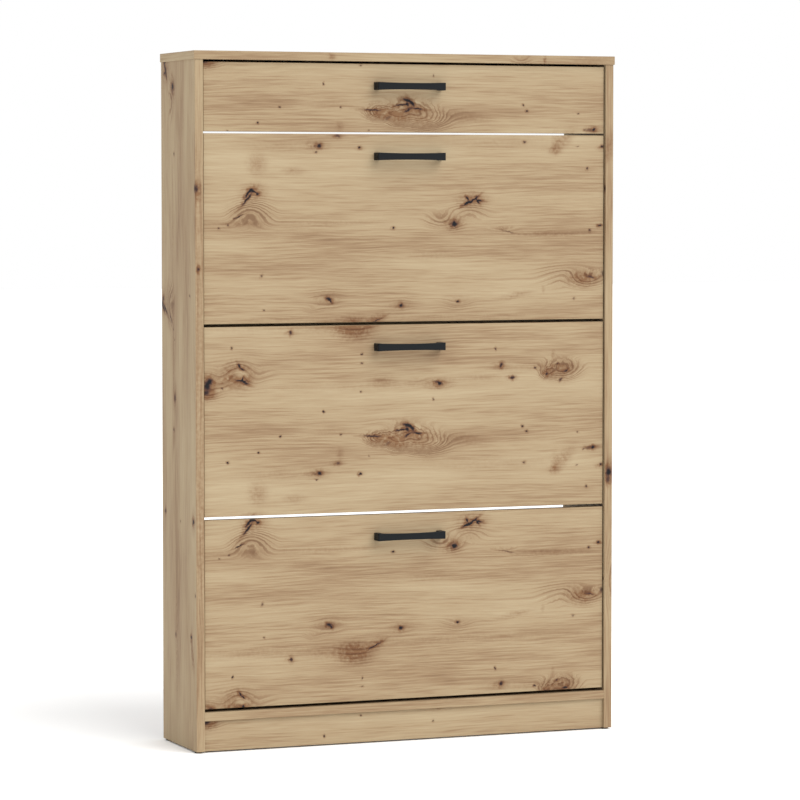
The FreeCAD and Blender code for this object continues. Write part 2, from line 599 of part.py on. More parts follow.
def side_plate_solid():
    """Moulded side plate drawn flat as depth, height, thickness, with the pivot at the origin."""
    front = -PIVOT_BEHIND_FRONT
    low_reach = math.sqrt(PLATE_REACH ** 2 - INSERT_BOTTOM ** 2)
    low_angle = math.atan2(-INSERT_BOTTOM, low_reach)
    high_angle = math.atan2(PLATE_REAR_RISE, PLATE_REACH)
    front_rise = math.sqrt(PLATE_TOP_RADIUS ** 2 - front ** 2)
    front_angle = math.atan2(front_rise, front)

    def polar(radius, angle):
        return vector(radius * math.cos(angle), radius * math.sin(angle), 0)

    heel = Part.Arc(polar(PLATE_REACH, low_angle), polar(PLATE_REACH, low_angle / 2),
                    vector(PLATE_REACH, 0, 0)).toShape()
    crown = Part.Arc(polar(PLATE_TOP_RADIUS, high_angle),
                     polar(PLATE_TOP_RADIUS, (high_angle + front_angle) / 2),
                     polar(PLATE_TOP_RADIUS, front_angle)).toShape()
    sole = Part.makeLine(vector(front, -INSERT_BOTTOM, 0), vector(low_reach, -INSERT_BOTTOM, 0))
    rear = Part.makeLine(vector(PLATE_REACH, 0, 0), vector(PLATE_REACH, PLATE_REAR_RISE, 0))
    face = Part.makeLine(vector(front, front_rise, 0), vector(front, -INSERT_BOTTOM, 0))
    outline = Part.Wire([sole, heel, rear, crown, face])
    plate = Part.Face(outline).extrude(vector(0, 0, PLATE_THICKNESS))

    track = STOP_RADIUS + STOP_PLAY
    up = vector(0, 0, 1)
    below = vector(0, 0, -1)
    tall = PLATE_THICKNESS + 2
    first = math.radians(STOP_ANGLE_DEG - FLAP_OPENING_DEG)
    last = math.radians(STOP_ANGLE_DEG)
    sector = Part.makeCylinder(STOP_ORBIT + track, tall, below, up, FLAP_OPENING_DEG)
    sector = sector.cut(rod(below, up, STOP_ORBIT - track, tall))
    sector.rotate(vector(0, 0, 0), up, math.degrees(first))
    slot = sector.fuse([rod(polar(STOP_ORBIT, angle) + below, up, track, tall) for angle in (first, last)])
    plate = plate.cut(slot)

    flange = Part.makeBox(FLANGE_THICKNESS, FLANGE_TOP - INSERT_TOP - 1, FLANGE_WIDTH,
                          vector(front, INSERT_TOP + 1, -FLANGE_WIDTH))
    stud = rod(vector(0, 0, PLATE_THICKNESS), up, PIVOT_RADIUS, PLATE_FROM_SIDE - 1)
    return plate.fuse([flange, stud]).removeSplitter()


def bearing_solid():
    """Bearing arm drawn flat, its boss towards the plate and its stop stud through the plate's slot."""
    up = vector(0, 0, 1)
    down = vector(0, 0, -1)
    arm = Part.makeBox(STOP_ORBIT, 2 * ARM_HALF_WIDTH, ARM_THICKNESS, vector(0, -ARM_HALF_WIDTH, 0))
    end = vector(STOP_ORBIT, 0, 0)
    back = up * ARM_THICKNESS
    boss = rod(back, down, ARM_HALF_WIDTH, BOSS_LENGTH)
    tip = rod(end, up, ARM_HALF_WIDTH, ARM_THICKNESS)
    plate_inner = INNER - PLATE_INNER_X
    stud = rod(end + back, down, STOP_RADIUS, plate_inner + 1)
    bearing = arm.fuse([boss, tip, stud]).removeSplitter()
    bearing = bearing.cut(rod(back * 2, down, PIVOT_RADIUS + PIVOT_PLAY, BOSS_LENGTH + 2 * ARM_THICKNESS))
    bearing.rotate(vector(0, 0, 0), up, STOP_ANGLE_DEG)
    return bearing


def flap(name):
    """One flap: front, handle, insert between two side plates, and its bearings on the carcass."""
    bottom = FLAP_BOTTOMS[name]
    pivot_z = bottom + PIVOT_HEIGHT
    prefix = f"flap_{name}"
    front_node = f"{prefix}_front"
    add(front_node, front_board(bottom, bottom + FLAP_HEIGHT))
    handle(prefix, bottom + FLAP_HEIGHT)

    floor_node = f"{prefix}_insert_floor"
    rail_node = f"{prefix}_back_rail"
    low_reach = math.sqrt(PLATE_REACH ** 2 - INSERT_BOTTOM ** 2) - FLOOR_REAR_INSET
    floor = block(-PLATE_INNER_X, PLATE_INNER_X, INNER_FACE_Y, PIVOT_Y + low_reach,
                  pivot_z - INSERT_BOTTOM, pivot_z + INSERT_TOP)
    add(floor_node, floor)
    rail_y = PIVOT_Y + PLATE_REACH - RAIL_INSET - INSERT_BOARD
    rail_top = pivot_z + PLATE_REAR_RISE
    add(rail_node, block(-PLATE_INNER_X, PLATE_INNER_X, rail_y, rail_y + INSERT_BOARD,
                         rail_top - RAIL_HEIGHT, rail_top))

    plate = upright(side_plate_solid(), PLATE_INNER_X, pivot_z)
    bearing = upright(bearing_solid(), INNER - ARM_THICKNESS, pivot_z)
    sides = (
        (1, "right", plate, bearing),
        (-1, "left", mirrored(plate), mirrored(bearing)),
    )
    screws = f"{prefix}_insert_screws"
    for sign, hand, plate_solid, bearing_body in sides:
        plate_node = f"{prefix}_side_plate_{hand}"
        bearing_node = f"{prefix}_bearing_{hand}"
        add(plate_node, plate_solid)
        add(bearing_node, bearing_body)
        inwards = vector(-sign, 0, 0)
        face_x = sign * PLATE_OUTER_X
        floor_z = pivot_z - INSERT_BOTTOM + INSERT_BOARD / 2
        for share in (0.2, 0.8):
            point = vector(face_x, PIVOT_Y + share * low_reach, floor_z)
            INSERT_SCREW.drive(screws, point, inwards, plate_node, floor_node)
            point = vector(face_x, rail_y + INSERT_BOARD / 2, rail_top - RAIL_HEIGHT * share)
            INSERT_SCREW.drive(screws, point, inwards, plate_node, rail_node)
        flange_x = sign * (PLATE_INNER_X - FLANGE_WIDTH / 2)
        for z in steps(INSERT_TOP + 20, FLANGE_TOP - 15, NAIL_PITCH):
            point = vector(flange_x, INNER_FACE_Y + FLANGE_THICKNESS, pivot_z + z)
            SHORT_SCREW.drive(screws, point, vector(0, -1, 0), plate_node, front_node)
        slant = math.radians(STOP_ANGLE_DEG)
        for share in (0.25, 0.75):
            along = share * STOP_ORBIT
            point = vector(sign * (INNER - ARM_THICKNESS), PIVOT_Y + along * math.cos(slant),
                           pivot_z + along * math.sin(slant))
            SHORT_SCREW.drive("carcass_screws", point, -inwards, bearing_node, f"side_panel_{hand}")


# ---- Build --------------------------------------------------------------------------------------

def finished(node):
    """The node's solids with its holes cut."""
    cutters = holes.get(node)
    shapes = [shape.cut(cutters) for shape in solids[node]] if cutters else solids[node]
    bodies = [solid for shape in shapes for solid in shape.Solids]
    return bodies[0] if len(bodies) == 1 else Part.makeCompound(bodies)


def main():
    carcass_boards()
    carcass_joints()
    back_boards()
    floor_glides()
    wall_brackets()
    drawer_guides()
    drawer()
    for name in FLAP_NAMES:
        flap(name)
    os.makedirs("parts", exist_ok=True)
    for node in solids:
        shape = finished(node)
        shape.exportStep(f"parts/{node}.step")
        print(f"{node}: {len(shape.Solids)} solids, valid {shape.isValid()}")


main()
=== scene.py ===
"""Looks of a slim shoe cabinet: one drawer over three tilting flaps.

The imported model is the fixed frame. Its boards, fittings and castings keep their CAD shape and get
their finish here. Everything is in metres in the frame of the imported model. The printed oak decor is
laid out in millimetres on one sheet, as its printer draws it.
"""
import json
import logging
import math
from dataclasses import dataclass
from typing import Any

import bmesh
import bpy
from mathutils import Euler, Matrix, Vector

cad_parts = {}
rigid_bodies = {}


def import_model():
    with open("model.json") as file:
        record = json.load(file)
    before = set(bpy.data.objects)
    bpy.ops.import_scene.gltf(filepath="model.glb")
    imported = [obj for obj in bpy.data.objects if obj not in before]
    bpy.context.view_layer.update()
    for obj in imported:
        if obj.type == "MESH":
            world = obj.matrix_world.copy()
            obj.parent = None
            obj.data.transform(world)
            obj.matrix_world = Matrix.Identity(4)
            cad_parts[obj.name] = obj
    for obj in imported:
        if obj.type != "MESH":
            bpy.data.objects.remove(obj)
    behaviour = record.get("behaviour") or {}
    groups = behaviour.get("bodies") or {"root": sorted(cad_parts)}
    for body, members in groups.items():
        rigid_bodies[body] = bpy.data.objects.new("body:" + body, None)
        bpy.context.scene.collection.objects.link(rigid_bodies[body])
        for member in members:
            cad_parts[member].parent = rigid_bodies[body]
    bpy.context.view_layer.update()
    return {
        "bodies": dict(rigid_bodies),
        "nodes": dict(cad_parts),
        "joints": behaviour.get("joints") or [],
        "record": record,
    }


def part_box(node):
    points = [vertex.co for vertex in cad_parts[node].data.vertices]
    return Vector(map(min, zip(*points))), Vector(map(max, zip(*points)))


LOG = logging.getLogger("shoe_cabinet")
MM = 0.001
X, Y, Z = 0, 1, 2
Socket = bpy.types.NodeSocket
Tree = bpy.types.NodeTree

# The Mix node repeats its socket names for each kind of value, so these are its socket numbers.
VECTOR_A, VECTOR_B, VECTOR_MIX = 4, 5, 1
COLOUR_A, COLOUR_B, COLOUR_MIX = 6, 7, 2
# Most of a noise lies between these two.
NOISE_RANGE = {"From Min": 0.3, "From Max": 0.7}
# A face looks along an axis when more than this share of its normal does.
MOSTLY = 0.7


# ---------------------------------------------------------------------------------------------
# Node helpers
# ---------------------------------------------------------------------------------------------

def linear(code: str) -> tuple[float, float, float, float]:
    """Turn an sRGB hex colour to linear light.

    Args:
        code: six hex digits, such as "C8A878".

    Returns:
        Red, green, blue and an alpha of one.
    """
    parts = [int(code[i:i + 2], 16) / 255 for i in (0, 2, 4)]
    red, green, blue = (p / 12.92 if p <= 0.04045 else ((p + 0.055) / 1.055) ** 2.4 for p in parts)
    return red, green, blue, 1.0


def add(tree: Tree, kind: str, sockets: dict[Any, Any] | None = None, **settings: Any) -> bpy.types.Node:
    """Add a shader node with its settings and what its inputs hold.

    Args:
        tree: node tree it joins.
        kind: node type without its ShaderNode prefix.
        sockets: input name or number, with the value or the output socket that feeds it.
        **settings: attributes of the node, set before its inputs.

    Returns:
        The new node.
    """
    node = tree.nodes.new("ShaderNode" + kind)
    for name, value in settings.items():
        setattr(node, name, value)
    for key, value in (sockets or {}).items():
        if isinstance(value, Socket):
            tree.links.new(value, node.inputs[key])
        else:
            node.inputs[key].default_value = value
    return node


def blank(name: str) -> tuple[bpy.types.Material, Tree, bpy.types.Node]:
    """Start a material with one Principled shader.

    Args:
        name: name of the material.

    Returns:
        The material, its node tree and its Principled shader.
    """
    material = bpy.data.materials.new(name)
    material.use_nodes = True
    tree = material.node_tree
    return material, tree, tree.nodes["Principled BSDF"]


def wire(tree: Tree, shader: bpy.types.Node, **sockets: Any) -> None:
    """Feed the shader's own sockets.

    Args:
        tree: node tree of the shader.
        shader: a Principled shader.
        **sockets: input names with underscores for spaces, each with a value or an output socket.
    """
    for name, value in sockets.items():
        socket = shader.inputs[name.replace("_", " ").title().replace("Ior", "IOR")]
        if isinstance(value, Socket):
            tree.links.new(value, socket)
        else:
            socket.default_value = value


# ---------------------------------------------------------------------------------------------
# The marks of the printed oak decor
# ---------------------------------------------------------------------------------------------

@dataclass(frozen=True)
class Knot:
    """A place where the grain bends, in millimetres on the sheet.

    Attributes:
        along: place of its middle along the grain.
        across: place of its middle across the grain.
        reach: half its length and half its height.
        turn: degrees it leans.
        eye: how far the lines part round it, from 0 to 1.
        rings: millimetres the lines dip at its middle, or rise if negative, which closes them to rings.
        stain: how brown it is. A negative one thins the stain of the knots that it lies in.
    """

    along: float
    across: float
    reach: tuple[float, float]
    turn: float = 0.0
    eye: float = 0.0
    rings: float = 0.0
    stain: float = 0.0

    def values(self) -> dict[str, float]:
        """What the inputs of its own node group hold."""
        return {"Eye": -self.eye * self.reach[1], "Rings": self.rings, "Brown": self.stain}


@dataclass(frozen=True)
class Crack:
    """A dark filled crack, core or speck, in millimetres on the sheet.

    Attributes:
        along: place of its middle along the grain.
        across: place of its middle across the grain.
        reach: half its length and half its width.
        turn: degrees it leans.
        depth: how dark it is, from 0 to 1.
    """

    along: float
    across: float
    reach: tuple[float, float]
    turn: float = 0.0
    depth: float = 0.9

    def values(self) -> dict[str, float]:
        """What the inputs of its own node group hold."""
        return {"Dark": self.depth}


Mark = Knot | Crack

# The print, mark by mark. On the fronts a place along the grain counts from the
# cabinet's middle, and a place across it from the lower ends of the side panels. The print comes
# round again after one turn of its cylinder, so a mark may show more than once.
KNOTS: tuple[Knot, ...] = (
    Knot(-160, 224, (48, 24), eye=0.75, stain=0.35), Knot(-190, 204, (30, 12), rings=7, stain=0.05),
    Knot(-14, 212, (38, 17), eye=0.6, stain=0.35), Knot(102, 218, (45, 22), eye=0.5, rings=6, stain=0.2),
    Knot(-335, 96, (84, 48), eye=0.8, rings=8, stain=0.14), Knot(-338, 86, (44, 36), rings=-24, stain=0.6),
    Knot(-335, 89, (24, 12), stain=-0.9), Knot(-352, 76, (80, 36), stain=0.28),
    Knot(-398, 66, (50, 36), eye=0.85, rings=8, stain=0.4), Knot(-396, 50, (24, 15), stain=0.6),
    Knot(-50, 70, (42, 15), eye=0.3, stain=0.35), Knot(65, 63, (46, 17), eye=0.7, stain=0.45),
    Knot(20, 68, (40, 12), rings=5, stain=0.12), Knot(190, 94, (30, 12), eye=0.4, stain=0.4),
    Knot(214, 71, (20, 9), eye=0.4, stain=0.35), Knot(286, 77, (24, 18), rings=26, stain=0.5),
    Knot(318, 83, (62, 34), rings=42, stain=0.5), Knot(270, 90, (170, 16), stain=0.2),
    Knot(150, 73, (90, 10), stain=0.22), Knot(300, 116, (6, 13), stain=0.25),
    Knot(366, 258, (56, 28), rings=26, stain=0.6), Knot(330, 264, (86, 36), rings=-16, stain=0.2),
    Knot(225, 229, (55, 9), turn=10, rings=4, stain=0.28), Knot(279, 238, (6, 11), stain=0.25),
    Knot(95, 365, (34, 22), eye=0.7, stain=0.45), Knot(68, 370, (50, 28), rings=18, stain=0.22),
    Knot(125, 388, (54, 28), rings=-16, stain=0.22), Knot(132, 411, (50, 26), eye=0.5, stain=0.5),
    Knot(-306, 424, (40, 26), eye=0.4, stain=0.5), Knot(-314, 390, (64, 44), rings=-26, stain=0.22),
    Knot(-300, 475, (30, 32), stain=0.38), Knot(-228, 463, (34, 13), stain=0.28),
    Knot(-182, 510, (36, 14), eye=0.5, stain=0.35), Knot(-97, 506, (18, 8), eye=0.4, stain=0.2),
    Knot(-143, 528, (28, 9), eye=0.3, stain=0.35), Knot(-137, 545, (12, 18), stain=0.28),
    Knot(-57, 571, (44, 23), rings=40, stain=0.8), Knot(-46, 572, (9, 6), stain=-0.4),
    Knot(-22, 562, (32, 28), rings=26, stain=0.5), Knot(2, 584, (120, 46), eye=0.7, stain=0.1),
    Knot(4, 583, (15, 13), stain=0.6), Knot(20, 593, (9, 9), stain=-0.6),
    Knot(16, 570, (84, 44), turn=-16, rings=44, stain=0.5), Knot(110, 568, (90, 18), turn=-6, stain=0.3),
    Knot(70, 556, (70, 26), rings=10, stain=0.1), Knot(384, 544, (30, 11), eye=0.4, stain=0.5),
    Knot(398, 508, (18, 9), eye=0.4, stain=0.35), Knot(303, 503, (22, 14), stain=0.4),
    Knot(322, 523, (48, 20), turn=42, stain=0.38), Knot(304, 520, (14, 32), stain=0.2),
    Knot(-106, 170, (62, 36), eye=0.2, rings=6, stain=0.85), Knot(-62, 185, (34, 17), turn=27, stain=0.5),
    Knot(-165, 172, (66, 22), stain=0.28), Knot(-235, 163, (22, 11), eye=0.5, stain=0.25),
    Knot(290, 345, (130, 8), rings=3, stain=0.38), Knot(195, 353, (46, 8), rings=6, stain=0.2),
    Knot(397, 360, (16, 8), eye=0.3, stain=0.4), Knot(-160, 366, (190, 9), stain=0.2),
    Knot(-340, 366, (80, 10), stain=0.22), Knot(50, 308, (75, 14), stain=0.2),
    Knot(120, 186, (380, 14), stain=0.16), Knot(-290, 178, (200, 22), stain=0.2),
    Knot(-100, 60, (330, 12), stain=0.12), Knot(-250, 510, (150, 22), stain=0.12),
    Knot(170, 520, (220, 22), stain=0.14), Knot(-150, 585, (90, 14), stain=0.14),
)

CRACKS: tuple[Crack, ...] = (
    Crack(-159, 225, (7, 4), -20), Crack(-155, 220, (4, 3), -40), Crack(-14, 212, (5, 4.5)),
    Crack(102, 218, (4, 3.2)), Crack(-336, 103, (7, 2.6), -62), Crack(-330, 97, (5, 2.4), -35),
    Crack(-333, 76, (15, 2.2), -4), Crack(-325, 72, (11, 3), -22), Crack(-330, 79, (5, 2.4), 60),
    Crack(-399, 68, (9, 13), 0, 0.92), Crack(-393, 76, (6, 7), 0, 0.85), Crack(-403, 54, (11, 6), 0, 0.75),
    Crack(65, 63, (7, 5.5)), Crack(58, 66, (8, 2.5), -20, 0.5), Crack(192, 96, (4.5, 6), -20, 0.8),
    Crack(214, 71, (6, 4), 0, 0.75), Crack(286, 77, (3.6, 3.2), 0, 0.8), Crack(326, 82, (7, 2.8), 15, 0.85),
    Crack(309, 97, (2.5, 2.5), 0, 0.7), Crack(316, 66, (5, 3), 40, 0.6),
    Crack(379, 261, (11, 2.8), -12, 0.6), Crack(404, 268, (6, 7), 0, 0.6),
    Crack(95, 364, (6, 5.5), 0, 0.95), Crack(94, 364, (13, 10), 0, 0.3), Crack(119, 403, (12, 2.4), 32),
    Crack(136, 411, (14, 2.4), 36), Crack(121, 412, (6, 2.6), -65), Crack(145, 409, (11, 2.6), -8),
    Crack(143, 406, (6, 2.6), -50), Crack(124, 404, (10, 3), 20), Crack(-320, 411, (20, 2.8), 50),
    Crack(-319, 421, (14, 3.0), 52), Crack(-312, 427, (7, 4.5), 20), Crack(-300, 421, (5, 3.6)),
    Crack(-306, 425, (6, 2), -20), Crack(-337, 379, (13, 1.2), 23), Crack(-178, 510, (5.6, 5)),
    Crack(-187, 509, (5, 2), 10, 0.3), Crack(-97, 507, (3.6, 3.4)), Crack(-141, 528, (5.5, 3.6), 0, 0.55),
    Crack(-72, 577, (22, 2.2), -3, 0.8), Crack(-41, 562, (10, 4), 30, 0.3), Crack(-14, 587, (16, 2.2), 6),
    Crack(-3, 596, (10, 3.6), -12), Crack(7, 591, (13, 4), -48, 0.95), Crack(19, 580, (14, 2.2), -5),
    Crack(-1, 588, (4.5, 6), 15), Crack(0, 577, (11, 3), 28, 0.8), Crack(384, 544, (4.4, 4)),
    Crack(376, 543, (12, 3), 0, 0.4), Crack(401, 511, (4, 3.2), 0, 0.8),
    Crack(-68, 181, (20, 1.7), 27, 0.85), Crack(-235, 163, (4, 5.4), 0, 0.7), Crack(397, 360, (4, 3)),
    Crack(205, 349, (18, 1.2), -12, 0.45), Crack(-351, 136, (2, 3)), Crack(-93, 121, (1.8, 3), -25, 0.7),
    Crack(-93, 105, (3, 1.8), 0, 0.6), Crack(-370, 62, (2.4, 2.2), 0, 0.6),
    Crack(-95, 50, (2.4, 2), 0, 0.6), Crack(-169, 15, (2, 3), 10, 0.8), Crack(52, 33, (2, 3), 0, 0.5),
    Crack(262, 89, (3, 2.6), 0, 0.7), Crack(180, 127, (2.2, 3.6), 0, 0.65),
    Crack(343, 221, (3.6, 2.6), 0, 0.4), Crack(376, 351, (2.8, 3), 0, 0.7), Crack(-30, 357, (4, 2.6)),
    Crack(-292, 269, (2.6, 4), -20, 0.5), Crack(-288, 206, (2.2, 2), 0, 0.6),
    Crack(-358, 363, (2.6, 2.2), 0, 0.6), Crack(-376, 357, (2.6, 1.8), 0, 0.6),
    Crack(-359, 535, (2.6, 2.6)), Crack(-299, 552, (2.6, 2.4)), Crack(-256, 581, (2.4, 2.2)),
    Crack(-135, 581, (2.2, 2), 0, 0.6), Crack(-184, 498, (3, 2), 0, 0.6), Crack(236, 588, (3, 2.4), -30),
    Crack(244, 578, (3, 2.6), -20), Crack(351, 574, (3, 1.8), 0, 0.6), Crack(239, 519, (4, 2.6), 0, 0.6),
    Crack(370, 469, (3, 3), 40, 0.7), Crack(350, 511, (3, 1.4), 0, 0.4),
    Crack(364, 542, (2.4, 1.8), 0, 0.5), Crack(-79, 539, (2.2, 2), 0, 0.4),
)

# Marks that only the side panels show. Their lower ends lie at -1135 along the sheet.
SIDE_MARKS: tuple[Mark, ...] = (
    Knot(-485, 356, (46, 16), eye=0.5, stain=0.3), Knot(-709, 252, (40, 18), eye=0.6, stain=0.35),
    Knot(-960, 258, (48, 11), turn=10, eye=0.3, stain=0.55), Knot(-925, 266, (30, 12), eye=0.4, stain=0.3),
    Knot(-930, 350, (230, 5), stain=0.42), Knot(-558, 362, (46, 10), stain=0.3),
    Knot(-430, 364, (110, 8), stain=0.25), Knot(-701, 414, (22, 10), eye=0.3, stain=0.3),
    Crack(-94, 238, (9, 4), 0, 0.7), Crack(-485, 356, (8, 4.5)), Crack(-709, 252, (7, 6)),
    Crack(-925, 266, (5, 5), 0, 0.8), Crack(-929, 356, (4, 4), 0, 0.6), Crack(-545, 364, (4, 4), 0, 0.6),
    Crack(-701, 414, (4, 5), 0, 0.7), Crack(-845, 242, (5, 2.5), 0, 0.6), Crack(-713, 326, (3, 3), 0, 0.4),
)

# Marks on the banding of the left panel's front edge, the right one's and the top board's.
LEFT_BANDING: tuple[Mark, ...] = (
    Knot(-460, 68, (800, 60), stain=0.32), Knot(-66, 64, (34, 11), eye=0.3, stain=0.5),
    Knot(-207, 66, (14, 6), stain=0.5), Knot(-700, 70, (160, 9), stain=0.2), Crack(-60, 62, (9, 5), 0, 0.7),
    Crack(-207, 66, (5, 4), 0, 0.7),
)

RIGHT_BANDING: tuple[Mark, ...] = (
    Knot(-460, 148, (800, 60), stain=0.04), Knot(-604, 148, (44, 11), eye=0.4, stain=0.6),
    Knot(-812, 152, (90, 16), rings=14, stain=0.25), Knot(22, 148, (52, 16), turn=12, stain=0.4),
    Crack(-604, 148, (12, 8), 0, 0.95), Crack(-619, 147, (8, 5), 0, 0.6),
)

TOP_BANDING: tuple[Mark, ...] = (
    Knot(-95, 292, (12, 9), stain=0.6), Knot(290, 290, (32, 14), rings=12, stain=0.2),
    Knot(338, 292, (5, 16), stain=0.5), Knot(440, 290, (90, 30), stain=0.2),
)


# ---------------------------------------------------------------------------------------------
# The printed oak decor
# ---------------------------------------------------------------------------------------------

@dataclass(frozen=True)
class Facing:
    """How faces that look along one axis are cut from the sheet.

    Attributes:
        along: axis number that lies along the grain.
        across: axis number that lies across it.
        start: millimetres on the sheet at the frame's origin, along and across.
    """

    along: int
    across: int
    start: tuple[float, float] = (0.0, 0.0)


@dataclass(frozen=True)
class Grain:
    """One layer of the printed grain.

    Attributes:
        width: millimetres across one feature.
        stretch: how many times longer than wide it is.
        detail: how many finer octaves it carries.
        weight: how strongly it sways the tone.
    """

    width: float
    stretch: float
    detail: float
    weight: float


@dataclass(frozen=True)
class Sway:
    """A slow bend of all the grain, as it follows the trunk.

    Attributes:
        size: millimetres across one bend.
        detail: how many finer octaves it carries.
        reach: millimetres that it moves the grain.
    """

    size: float
    detail: float
    reach: float


@dataclass(frozen=True)
class LateWood:
    """The darker lines where each year's growth ends.

    Attributes:
        spacing: millimetres from line to line, an eightieth of the print's repeat.
        uneven: radians that the cloudy layer moves them.
        flank: height of the wave, from -1 to 1, at which a line begins.
        plain: how dark they are on quiet wood.
        bent: how much darker they get for each millimetre that a knot moves them.
        stained: how much darker they get in a full stain.
        darkest: the most that they darken the tone.
    """

    spacing: float = 7.625
    uneven: float = 22.0
    flank: float = -0.2
    plain: float = 0.09
    bent: float = 0.018
    stained: float = 0.35
    darkest: float = 0.55


def stir(tree: Tree, place: Socket, noise: Socket, reach: tuple[float, float]) -> Socket:
    """Move a place on the sheet about by a noise.

    Args:
        tree: node tree of the material.
        place: millimetres on the sheet.
        noise: colour output of a noise, which strays about a quarter either side of one half.
        reach: millimetres that the place strays along and across the grain.

    Returns:
        The moved place.
    """
    about = add(tree, "VectorMath", {0: noise, 1: (0.5, 0.5, 0.5)}, operation="SUBTRACT").outputs[0]
    along, across = reach
    return add(tree, "VectorMath", {0: about, 1: (along * 4, across * 4, 0.0), 2: place},
               operation="MULTIPLY_ADD").outputs[0]


@dataclass(frozen=True)
class OakDecor:
    """Melamine-faced chipboard with a printed knotty oak: paper soaked in resin and pressed on.

    The print gives flat, soft-edged colour under a thin satin resin skin with shallow pores, so the
    grain shows as colour and hardly as relief.

    Attributes:
        name: name of the material.
        facings: how the faces that look along X, Y and Z are cut from the sheet.
        window: lowest and highest millimetre across the sheet that the board shows.
        marks: knots and cracks that its faces may show.
        banded: knots and cracks on its edge banding.
        repeat: circumference of the printing cylinder, after which the print comes round again.
        clouds, streaks, fibres: layers of the grain. The real fibre is under a millimetre, and is
            drawn as coarse as it needs to show.
        late_wood: the darker lines of growth.
        level: added to the sum of the layers, so that it falls on the ramp of browns.
        sways, sway_stretch: bends of all the grain, and how many times longer than wide they are.
        mottle: millimetres across one mottle, which frays the marks and breaks up their stain.
        ragged: millimetres that the marks fray along and across the grain.
        patch_gain, patch_level: how hard the mottle breaks up a stain, and where it begins.
        pore, pore_stretch: millimetres across one pore, coarser than the real one so that it shows,
            and how many times longer than wide it is.
        skin: roughness of the resin skin on dark and on pale streaks.
        pale, tan, brown, umber: the print's four browns, from pale early wood to late wood.
        stain: what a full stain multiplies them by.
        bark, core: colours round a crack and in it.
        bark_depth, core_depth: depths of a crack between which each of them sets in.
    """

    name: str
    facings: tuple[Facing, Facing, Facing]
    window: tuple[float, float] = (0.0, 0.0)
    marks: tuple[Mark, ...] = KNOTS + CRACKS
    banded: tuple[Mark, ...] = ()
    repeat: float = 610.0
    clouds: Grain = Grain(60.0, 8.0, 2.0, 1.3)
    streaks: Grain = Grain(10.0, 22.0, 3.0, 0.54)
    fibres: Grain = Grain(2.3, 26.0, 2.0, 0.86)
    late_wood: LateWood = LateWood()
    level: float = -0.775
    sways: tuple[Sway, Sway] = (Sway(110.0, 0.6, 5.0), Sway(17.0, 1.0, 0.8))
    sway_stretch: float = 4.5
    mottle: float = 7.0
    ragged: tuple[float, float] = (2.0, 1.5)
    patch_gain: float = 3.0
    patch_level: float = -0.25
    pore: float = 1.4
    pore_stretch: float = 10.0
    skin: tuple[float, float] = (0.55, 0.65)
    pale: str = "A79679"
    tan: str = "9B876A"
    brown: str = "8B7358"
    umber: str = "796048"
    stain: str = "C4A898"
    bark: str = "46302A"
    core: str = "161416"
    bark_depth: tuple[float, float] = (0.0, 0.65)
    core_depth: tuple[float, float] = (0.5, 0.9)

    def make(self) -> bpy.types.Material:
        """Build the material.

        Returns:
            The material.
        """
        material, tree, shader = blank(self.name)
        sheet = self.cut(tree)
        swept = self.sweep(tree, sheet)
        mottle = add(tree, "TexNoise", {"Vector": sheet, "Scale": 1 / self.mottle, "Detail": 3.0}).outputs
        ragged = stir(tree, sheet, mottle["Color"], self.ragged)
        shift, stain, dark = add(tree, "SeparateXYZ", {0: self.blemishes(tree, ragged)}).outputs
        place = add(tree, "SeparateXYZ", {0: swept}).outputs
        across = add(tree, "Math", {0: place[Y], 1: shift}, operation="ADD").outputs[0]
        rolled = self.roll(tree, place[X], across)
        clouds, streaks, fibres = (self.layer(tree, rolled, grain)
                                   for grain in (self.clouds, self.streaks, self.fibres))
        stretched = add(tree, "VectorMath", {0: sheet, 1: (1 / self.pore_stretch, 1.0, 1.0)},
                        operation="MULTIPLY").outputs[0]
        pores = add(tree, "TexNoise", {"Vector": stretched, "Scale": 1 / self.pore, "Detail": 1.0}).outputs[0]
        lines = self.growth_lines(tree, across, clouds, shift, stain)
        tone: Socket | float = self.level
        for noise, grain in ((clouds, self.clouds), (streaks, self.streaks), (fibres, self.fibres)):
            tone = add(tree, "Math", {0: noise, 1: grain.weight, 2: tone},
                       operation="MULTIPLY_ADD").outputs[0]
        tone = add(tree, "Math", {0: tone, 1: lines}, operation="SUBTRACT").outputs[0]
        patchy = add(tree, "Math", {0: mottle["Fac"], 1: self.patch_gain, 2: self.patch_level},
                     operation="MULTIPLY_ADD").outputs[0]
        tinge = add(tree, "Math", {0: stain, 1: patchy}, operation="MULTIPLY").outputs[0]
        gloss = add(tree, "MapRange", {"Value": streaks, **NOISE_RANGE, "To Min": self.skin[0],
                                       "To Max": self.skin[1]}).outputs[0]
        bump = add(tree, "Bump", {"Height": pores, "Strength": 0.12, "Distance": 0.06 * MM}).outputs[0]
        wire(tree, shader, base_color=self.colour(tree, tone, tinge, dark), roughness=gloss, normal=bump,
             ior=1.5, specular_ior_level=0.15)
        return material

